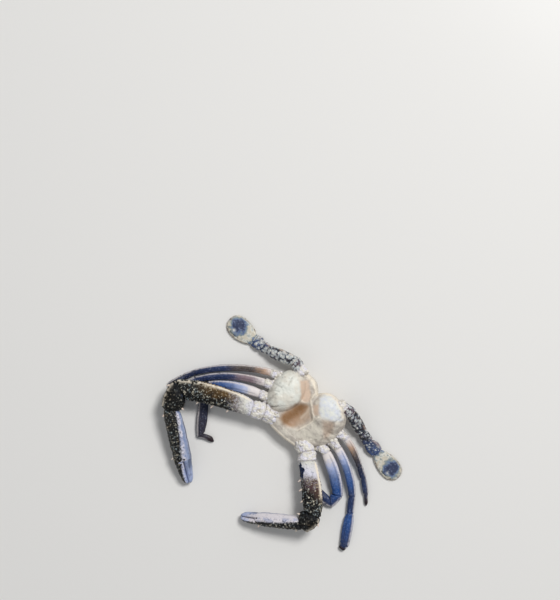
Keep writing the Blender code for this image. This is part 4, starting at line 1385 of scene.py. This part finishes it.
def spine_form(tube, along, degrees, reach):
    """A stout thorn that curves towards the limb's end."""
    turn = np.array([math.radians(degrees)])
    root = tube.skin(np.array([along]), turn)[0]
    out = unit_vector(np.cos(turn[0]) * tube.side + np.sin(turn[0]) * tube.up)
    way = unit_vector(out + tube.axis * SPINE_LEAN * 0.6)
    across = unit_vector(np.cross(way, tube.axis))
    other = np.cross(way, across)
    long = reach + SPINE_SUNK

    def form(polar, azimuth):
        taper = np.sqrt(np.minimum(polar * 12.0, 1.0)) * np.maximum(1.0 - polar, 0.0) ** 0.75
        middle = root + np.outer(polar * long - SPINE_SUNK, way)
        middle = middle + np.outer(polar**2 * reach * SPINE_LEAN * 0.5, tube.axis)
        ring = np.outer(np.cos(azimuth), across) + np.outer(np.sin(azimuth), other)
        return middle + ring * (SPINE_RADIUS * taper)[:, None], {"along": polar}

    return form


def bun_form(place, plane, size, reach, share):
    """A flat bun of joint skin that closes the gap between two lengths."""
    side = unit_vector(np.cross((0.0, 0.0, 1.0), plane))
    up = np.cross(plane, side)

    def form(polar, azimuth):
        radius = np.sin(polar * math.pi) ** 0.5
        offset = np.outer(np.cos(azimuth) * radius * size[0] * share, side)
        offset += np.outer(np.sin(azimuth) * radius * size[1] * share, up)
        points = place + offset + np.outer(np.cos(polar * math.pi) * BUN_THICKNESS, plane)
        points[:, 2] = np.maximum(points[:, 2], LOWEST)
        return points, {
            "reach": np.full(len(points), reach), "along": np.full(len(points), 0.98),
            "up": np.sin(azimuth), "stain": np.full(len(points), 0.5),
        }

    return form


def fringe(tube, draw, along_range, step, reach):
    """Fine hairs along both edges of a length: one small cone, copied to each root in one mesh."""
    deselect()
    bpy.ops.mesh.primitive_cone_add(vertices=4, radius1=1.0, radius2=0.0, depth=1.0)
    item = bpy.context.object
    item.name = item.data.name = "hairs"
    cone = np.array([vert.co[:] for vert in item.data.vertices])
    cone[:, 2] += 0.5
    faces = [tuple(face.vertices) for face in item.data.polygons]
    points, all_faces = [], []
    start, end = along_range
    count = int((end - start) * tube.long / step)
    for side in (1, -1):
        for number in range(count):
            along = start + (end - start) * (number + draw.random()) / count
            edge = 0.0 if side > 0 else math.pi
            turn = edge + draw.uniform(-HAIR_STRAY, HAIR_STRAY)
            root = tube.skin(np.array([along]), np.array([turn]))[0]
            lean = HAIR_LEAN + HAIR_LEAN_PAST_MIDDLE * max(along - 0.5, 0.0)
            lean += draw.uniform(-HAIR_LEAN_STRAY, HAIR_LEAN_STRAY)
            rise = tube.up * draw.uniform(-HAIR_STRAY, HAIR_STRAY)
            way = unit_vector(tube.side * side + tube.axis * lean + rise)
            across = unit_vector(np.cross(way, tube.up))
            long = reach * draw.uniform(*HAIR_LENGTHS) + HAIR_SUNK
            hair = (
                root - way * HAIR_SUNK + np.outer(cone[:, 0] * HAIR_SIZE[0], across)
                + np.outer(cone[:, 1] * HAIR_SIZE[1], np.cross(way, across))
                + np.outer(cone[:, 2] * long, way)
            )
            hair[:, 2] = np.maximum(hair[:, 2], LOWEST)
            base = len(points) * len(cone)
            all_faces += [tuple(index + base for index in face) for face in faces]
            points.append(hair)
    placed = (np.vstack(points) + BODY_AT) * MM
    item.data.clear_geometry()
    item.data.from_pydata(placed.tolist(), [], all_faces)
    item.data.validate()
    return item


# Settings that a user would change

# Name, default, least value, what it is
SIZES = (
    ("fine_spacing", 0.78, 0.3, "Least distance between fine grains, mm"),
    ("fine_tries", 2.2, 0.0, "Places tried for fine grains on a square mm of claw"),
    ("pale_spacing", 1.6, 0.3, "Least distance between pale grains, mm"),
    ("pale_tries", 0.55, 0.0, "Places tried for pale grains on a square mm of claw"),
    ("hair_step", 0.16, 0.05, "Distance between hairs on a paddle's edge, mm"),
    ("hair_reach", 1.3, 0.0, "Longest hair on a paddle's edge, mm"),
)
# Name, display colour, where it is
COLOURS = (
    ("skeleton_white", (226, 226, 216), "Lobes of the thorax"),
    ("skeleton_pale", (222, 217, 204), "Paler cream of the lobes and roots"),
    ("skeleton_blue", (210, 213, 220), "Facet of the left lobe"),
    ("skeleton_cream", (212, 204, 190), "Skeleton round the lobes"),
    ("skeleton_grey", (182, 173, 162), "Skeleton in the pan"),
    ("skeleton_green", (206, 199, 184), "Mottles of the pan"),
    ("tan", (160, 118, 80), "Windows in the trough"),
    ("tan_dark", (122, 86, 46), "Deep part of the main window"),
    ("pink", (212, 184, 160), "Channels beside the ridge"),
    ("rim", (238, 226, 206), "Bright edges"),
    ("suture", (66, 58, 56), "Dark seams"),
    ("stain", (112, 94, 80), "Brown in the folds of the roots"),
    ("marble_white", (214, 212, 202), "White of the swimming legs"),
    ("marble_blue", (164, 172, 178), "Cooler blobs of the swimming legs"),
    ("lilac_white", (212, 210, 221), "Pale shell"),
    # The left hand's pale face, partly painted highlight
    ("hand_white", (215, 209, 212), "Face ahead of the left hand"),
    ("lilac", (142, 154, 184), "Face ahead of the hands"),
    # Lilac shade: dark spots on the limbs, and painted shade at the hands' front edges
    ("lilac_shade", (84, 94, 118), "Edges and spots of the hands"),
    ("leg_pale", (230, 222, 218), "Roots of the walking legs"),
    ("leg_tan", (186, 154, 130), "Root of the hind walking legs"),
    ("leg_lilac", (170, 182, 216), "Pale blue of the walking legs"),
    ("leg_grey", (92, 116, 164), "Dusk blue of the walking legs"),
    ("leg_blue", (40, 82, 146), "Blue of the walking legs"),
    ("navy", (33, 50, 90), "Deep blue"),
    ("dusk", (28, 34, 56), "Grey navy"),
    ("mauve", (134, 114, 120), "Root half of the second legs"),
    ("umber", (84, 74, 68), "Root half of the hind legs"),
    ("purple", (78, 58, 62), "Flush on the left arm"),
    ("brown", (100, 78, 62), "Hair and frayed edges"),
    ("olive", (96, 70, 30), "Warm cast of the right arm"),
    ("sepia", (84, 58, 52), "Warm cast of the left arm"),
    ("arm_grey", (140, 132, 130), "Where an arm turns from white to dark"),
    ("black_blue", (9, 11, 14), "Dark shell"),
    ("black_green", (15, 14, 11), "Dark shell"),
    ("dark_grain", (42, 41, 33), "Fine grains"),
    ("black", (12, 11, 12), "Holes and cuts"),
    ("horn", (44, 34, 38), "Tips of the legs"),
    ("grain_pale", (204, 196, 176), "Grains on the claws"),
    ("grain_blue", (146, 158, 162), "Cooler grains on the claws"),
    ("grain_gold", (172, 140, 86), "Grains in the warm cast"),
    ("spine", (232, 204, 188), "Thorns of the claws"),
    ("paddle_cream", (200, 192, 174), "Base and rim of the paddles"),
    ("paddle_teal", (104, 120, 124), "Edge of the blotch"),
    ("paddle_blue", (46, 55, 84), "Middle of the blotch"),
    ("floor", (226, 224, 220), "Plain pale floor"),
)


def label(name):
    return name.replace("_", " ").capitalize()


def linear(display):
    """Display colour, 0 to 255, as the linear colour that materials take."""
    parts = [part / 255 for part in display]
    return tuple(
        part / 12.92 if part <= 0.04045 else ((part + 0.055) / 1.055) ** 2.4 for part in parts
    )


def size_setting(name, default, least, about):
    return bpy.props.FloatProperty(name=label(name), description=about, default=default, min=least)


def colour_setting(name, display, about):
    return bpy.props.FloatVectorProperty(
        name=label(name), description=about, default=linear(display), subtype="COLOR", size=3,
        min=0.0, max=1.0,
    )


class CrabSizes(bpy.types.PropertyGroup):
    __annotations__ = {row[0]: size_setting(*row) for row in SIZES}


class CrabColours(bpy.types.PropertyGroup):
    __annotations__ = {row[0]: colour_setting(*row) for row in COLOURS}


def settings(context):
    return context.scene.crab_sizes, context.scene.crab_colours


# Colours along each walking leg, from its root to its end
LEG_STOPS = {
    "walking_leg_1_right": (
        (0.14, "leg_pale"), (0.20, "leg_lilac"), (0.29, "leg_grey"), (0.37, "leg_blue"),
        (0.50, "navy"), (0.66, "dusk"), (0.97, "horn"),
    ),
    "walking_leg_2_right": (
        (0.05, "leg_pale"), (0.13, "mauve"), (0.21, "mauve"), (0.29, "navy"), (0.60, "navy"),
        (1.0, "dusk"),
    ),
    "walking_leg_3_right": (
        (0.05, "leg_pale"), (0.12, "leg_tan"), (0.24, "umber"), (0.38, "umber"), (0.48, "navy"),
        (1.0, "dusk"),
    ),
    "walking_leg_1_left": (
        (0.15, "leg_pale"), (0.25, "leg_lilac"), (0.37, "leg_grey"), (0.50, "leg_blue"),
        (0.72, "navy"), (1.0, "dusk"),
    ),
    "walking_leg_2_left": (
        (0.09, "leg_pale"), (0.17, "leg_lilac"), (0.26, "leg_grey"), (0.40, "leg_blue"),
        (0.52, "navy"), (0.64, "navy"), (0.72, "leg_blue"), (0.95, "navy"),
    ),
    "walking_leg_3_left": (
        (0.10, "leg_pale"), (0.22, "leg_tan"), (0.34, "umber"), (0.50, "dusk"), (0.75, "navy"),
        (0.95, "horn"),
    ),
}
# A last length that ends wider than this is trimmed; the roots are slimmer than their solids
STUB_WIDER_THAN = 2.0
LEG_ROOT_SLIM = 0.55

# Each claw: colours along its upper arm under the grains, the warm cast behind, how far the pale
# of its hand reaches, and the colour of that pale, which is partly its own and partly painted
# highlight
CLAWS = {
    "claw_right": ((
        (0.0, "lilac_white"), (0.11, "marble_white"), (0.22, "arm_grey"), (0.34, "black_green"),
        (0.75, "black_green"), (1.0, "black_blue"),
    ), "olive", 0.1, "lilac_white"),
    "claw_left": ((
        (0.0, "marble_white"), (0.22, "lilac_white"), (0.36, "arm_grey"), (0.47, "purple"),
        (0.62, "black_green"), (1.0, "black_blue"),
    ), "sepia", 1.0, "hand_white"),
}
WRIST_STOPS = (
    (0.0, "black_green"), (0.1, "black_blue"), (0.2, "black_blue"), (1.0, "black_green"),
)
WRIST_SHARE = 0.25

# How far the blobs of each swimming leg grow into each other, where its hairs are along the paddle
# and the length before, and how these are wider apart than the paddle's and how long
MARBLED_SHARES = {"swimming_leg_right": 0.74, "swimming_leg_left": 0.50}
PADDLE_HAIRS = (0.10, 0.995)
PROPODUS_HAIRS = (0.25, 0.97)
PROPODUS_HAIR_STEP = 1.6
PROPODUS_HAIR_REACH = 1.0


def add_joint_skins(limb_name, tubes, roots, shell):
    """Soft skin in the gap of every joint, in the colours of the lengths beside it."""
    tubes = list(tubes.values())
    first = tubes[0]
    pale = [bun_form(first.start, first.axis, first.size, 0.0, BUN_SHARES["root"])]
    rest = []
    for before, after in zip(tubes, tubes[1:]):
        if after.length.name == "finger":
            continue
        share = BUN_SHARES.get(before.length.name, BUN_SHARE)
        form = bun_form(after.start, before.planes[1], before.length.end, after.reach[0], share)
        (pale if before.length.name in BUN_SHARES else rest).append(form)
    for forms, finish, name in ((pale, roots, "root_skins"), (rest, shell, "joint_skins")):
        items = [press_sphere("bun", BUN_FACETS, form) for form in forms]
        finish_piece(join_pieces(items, f"{limb_name}_{name}"), finish)


def press_limb_part(limb_name, part, tube, form, finish, step, more=0.0):
    item = press_sphere(f"{limb_name}_{part}_skin", facets_of(tube, step, more), form)
    finish_piece(item, finish, f"{limb_name}_{part}")


class CRAB_OT_thorax(bpy.types.Operator):
    """Open thorax: two lobes, a trough with tan windows, ridges, sutures and a breast plate"""
    bl_idname = "crab.thorax"
    bl_label = "Thorax"

    def execute(self, context):
        _, colours = settings(context)
        item = press_sphere("thorax_skin", THORAX_FACETS, thorax_form)
        finish_piece(item, thorax_finish(colours), "thorax")
        return {"FINISHED"}


class CRAB_OT_claws(bpy.types.Operator):
    """Both claws: grained arms and wrists, hands with a lilac face, trimmed fingers"""
    bl_idname = "crab.claws"
    bl_label = "Claws"

    def execute(self, context):
        sizes, colours = settings(context)
        root = root_finish(colours)
        for limb_name, (stops, warm, pale, bright) in CLAWS.items():
            tubes = tubes_of(limb_name)
            # The fixed finger grows out of the hand without a gap
            fixed = tubes_of(limb_name)["finger"]
            fixed.gaps = (0.0, 0.0)
            arm = arm_finish(colours, f"{limb_name} arm", stops, warm)
            wrist = arm_finish(
                colours, f"{limb_name} wrist", WRIST_STOPS, "black_green", WRIST_SHARE, 0.0
            )
            hand = hand_finish(colours, f"{limb_name} hand", pale, bright)
            for part, tube in tubes.items():
                draw = draw_for(limb_name + part)
                step, more = FACET["claw"], 0.0
                if part in ("coxa", "ischium"):
                    form, finish, step = root_form(tube, draw, limb_name), root, FACET[part]
                elif part == "palm":
                    form = hand_form(tube, fixed, draw, limb_name, sizes)
                    finish, more = hand, fixed.long
                elif part == "finger":
                    form, finish, step = finger_form(tube, draw, limb_name), hand, FACET[part]
                else:
                    form = arm_form(tube, draw, limb_name, sizes)
                    finish = arm if part == "merus" else wrist
                press_limb_part(limb_name, part, tube, form, finish, step, more)
            add_joint_skins(limb_name, tubes, root, wrist)
        return {"FINISHED"}


class CRAB_OT_spines(bpy.types.Operator):
    """Thorns on the front of the arms, the wrists and the hands"""
    bl_idname = "crab.spines"
    bl_label = "Spines"

    def execute(self, context):
        _, colours = settings(context)
        finish = plain_finish(colours, "spine", "spine", "skeleton_cream", 1.5, 0.35)
        for limb_name, spines in SPINES.items():
            tubes = tubes_of(limb_name)
            forms = [spine_form(tubes[part], *spine) for part, *spine in spines]
            items = [press_sphere(f"{limb_name}_spine", SPINE_FACETS, form) for form in forms]
            finish_piece(join_pieces(items, f"{limb_name}_spines"), finish)
        return {"FINISHED"}


class CRAB_OT_walking_legs(bpy.types.Operator):
    """Six walking legs: pale roots, then lilac, mauve and deep blue"""
    bl_idname = "crab.walking_legs"
    bl_label = "Walking legs"

    def execute(self, context):
        _, colours = settings(context)
        root = root_finish(colours)
        for limb_name, stops in LEG_STOPS.items():
            finish = leg_finish(colours, limb_name.replace("_", " "), stops)
            tubes = tubes_of(limb_name)
            last = list(tubes)[-1]
            for part, tube in tubes.items():
                draw = draw_for(limb_name + part)
                stub = part == last and tube.length.end[0] > STUB_WIDER_THAN
                if part == "coxa":
                    form, wanted = root_form(tube, draw, limb_name, slim=LEG_ROOT_SLIM), root
                else:
                    form, wanted = leg_form(tube, draw, limb_name, stub), finish
                press_limb_part(limb_name, part, tube, form, wanted, FACET[part])
            add_joint_skins(limb_name, tubes, root, finish)
        return {"FINISHED"}


class CRAB_OT_swimming_legs(bpy.types.Operator):
    """Both swimming legs, marbled, with thin paddles and a fringe of hairs"""
    bl_idname = "crab.swimming_legs"
    bl_label = "Swimming legs"

    def execute(self, context):
        sizes, colours = settings(context)
        root = root_finish(colours, "swimming roots")
        blade = paddle_finish(colours)
        hair = plain_finish(colours, "hair", "paddle_cream", "brown", 2.0, 0.6)
        for limb_name, share in MARBLED_SHARES.items():
            tubes = tubes_of(limb_name)
            marbled = swimming_finish(colours, limb_name.replace("_", " "), share)
            for part, tube in tubes.items():
                draw = draw_for(limb_name + part)
                if part == "coxa":
                    form, finish = root_form(tube, draw, limb_name, dark=1.0), root
                elif part == "paddle":
                    form, finish = paddle_form(tube, draw, limb_name), blade
                else:
                    form, finish = leg_form(tube, draw, limb_name, False, mottled=True), marbled
                press_limb_part(limb_name, part, tube, form, finish, FACET[part])
            add_joint_skins(limb_name, tubes, root, marbled)
            draw, step = draw_for(limb_name + "hair"), sizes.hair_step
            hairs = [
                fringe(tubes["paddle"], draw, PADDLE_HAIRS, step, sizes.hair_reach),
                fringe(tubes["propodus"], draw, PROPODUS_HAIRS, step * PROPODUS_HAIR_STEP,
                       PROPODUS_HAIR_REACH),
            ]
            finish_piece(join_pieces(hairs, f"{limb_name}_fringe"), hair)
        return {"FINISHED"}


class CRAB_OT_knobs(bpy.types.Operator):
    """Rounded cream lumps round the joints at the body"""
    bl_idname = "crab.knobs"
    bl_label = "Knobs"

    def execute(self, context):
        _, colours = settings(context)
        finish = root_finish(colours, "knobs")
        for limb_name in LIMBS:
            coxa = tubes_of(limb_name)["coxa"]
            draw = draw_for(limb_name + "knobs")
            items = []
            for degrees in CLAW_KNOBS if limb_name.startswith("claw") else LEG_KNOBS:
                turn = math.radians(degrees + draw.uniform(-KNOB_STRAY, KNOB_STRAY))
                along = draw.uniform(*KNOB_PLACES)
                place = coxa.skin(np.array([along]), np.array([turn]), KNOB_SHRINK)[0]
                size = coxa.length.full[0] * draw.uniform(*KNOB_SIZES)
                items.append(press_sphere("knob", KNOB_FACETS, knob_form(place, size, draw)))
            finish_piece(join_pieces(items, f"{limb_name}_knobs"), finish)
        return {"FINISHED"}


class CRAB_OT_stage(bpy.types.Operator):
    """Plain pale floor, soft light from the photograph's upper right, and the camera"""
    bl_idname = "crab.stage"
    bl_label = "Stage"

    def execute(self, context):
        _, colours = settings(context)
        deselect()
        bpy.ops.mesh.primitive_plane_add(size=FLOOR_SIZE, location=(0.0, 0.0, FLOOR_DROP))
        floor = bpy.context.object
        floor.name = "floor"
        bpy.ops.object.transform_apply(location=True, rotation=True, scale=True)
        finish = plain_finish(colours, "floor", "floor", "floor", 400.0, 0.75)
        floor.data.materials.append(finish)
        aim_x = (BODY_AT[0] + VIEW_FROM_THORAX[0]) * MM
        aim_y = (BODY_AT[1] + VIEW_FROM_THORAX[1]) * MM
        bpy.ops.object.camera_add(
            location=(aim_x, aim_y, VIEW_HEIGHT * MM), rotation=(0.0, 0.0, VIEW_TURN)
        )
        camera = bpy.context.object
        camera.name = "camera"
        camera.data.lens = VIEW_LENS
        camera.data.clip_start = VIEW_CLIP_START
        context.scene.camera = camera
        for lamp in LAMPS:
            add_light(*lamp)
        world = bpy.data.worlds.new("studio")
        world.use_nodes = True
        background = world.node_tree.nodes["Background"].inputs
        background["Color"].default_value = SKY
        background["Strength"].default_value = SKY_STRENGTH
        context.scene.world = world
        context.scene.view_settings.view_transform = "Standard"
        return {"FINISHED"}


def add_light(name, right, up, height, size, power):
    """A soft square lamp, placed by the picture's right and up, aimed at the crab."""
    turn_x, turn_y = math.cos(VIEW_TURN), math.sin(VIEW_TURN)
    spot = Vector((right * turn_x - up * turn_y, right * turn_y + up * turn_x, height))
    bpy.ops.object.light_add(type="AREA", location=spot)
    lamp = bpy.context.object
    lamp.name = name
    lamp.data.size = size
    lamp.data.energy = power
    lamp.rotation_euler = (-spot).to_track_quat("-Z", "Y").to_euler()


class CRAB_PT_panel(bpy.types.Panel):
    """Lists the crab's parts and settings"""
    bl_idname = "CRAB_PT_panel"
    bl_label = "Swimming crab"
    bl_space_type = "VIEW_3D"
    bl_region_type = "UI"
    bl_category = "Crab"

    def draw(self, context):
        for operator in OPERATORS:
            self.layout.operator(operator.bl_idname)
        for group in settings(context):
            for name in group.bl_rna.properties.keys():
                if name not in ("rna_type", "name"):
                    self.layout.prop(group, name)


OPERATORS = (
    CRAB_OT_thorax, CRAB_OT_claws, CRAB_OT_spines, CRAB_OT_walking_legs,
    CRAB_OT_swimming_legs, CRAB_OT_knobs, CRAB_OT_stage,
)
CLASSES = (CrabSizes, CrabColours, *OPERATORS, CRAB_PT_panel)


def register():
    for item in CLASSES:
        bpy.utils.register_class(item)
    bpy.types.Scene.crab_sizes = bpy.props.PointerProperty(type=CrabSizes)
    bpy.types.Scene.crab_colours = bpy.props.PointerProperty(type=CrabColours)


def unregister():
    del bpy.types.Scene.crab_colours
    del bpy.types.Scene.crab_sizes
    for item in reversed(CLASSES):
        bpy.utils.unregister_class(item)


def main():
    register()
    bpy.ops.crab.thorax()
    bpy.ops.crab.claws()
    bpy.ops.crab.spines()
    bpy.ops.crab.walking_legs()
    bpy.ops.crab.swimming_legs()
    bpy.ops.crab.knobs()
    bpy.ops.crab.stage()
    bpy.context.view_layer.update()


if __name__ == "__main__":
    main()
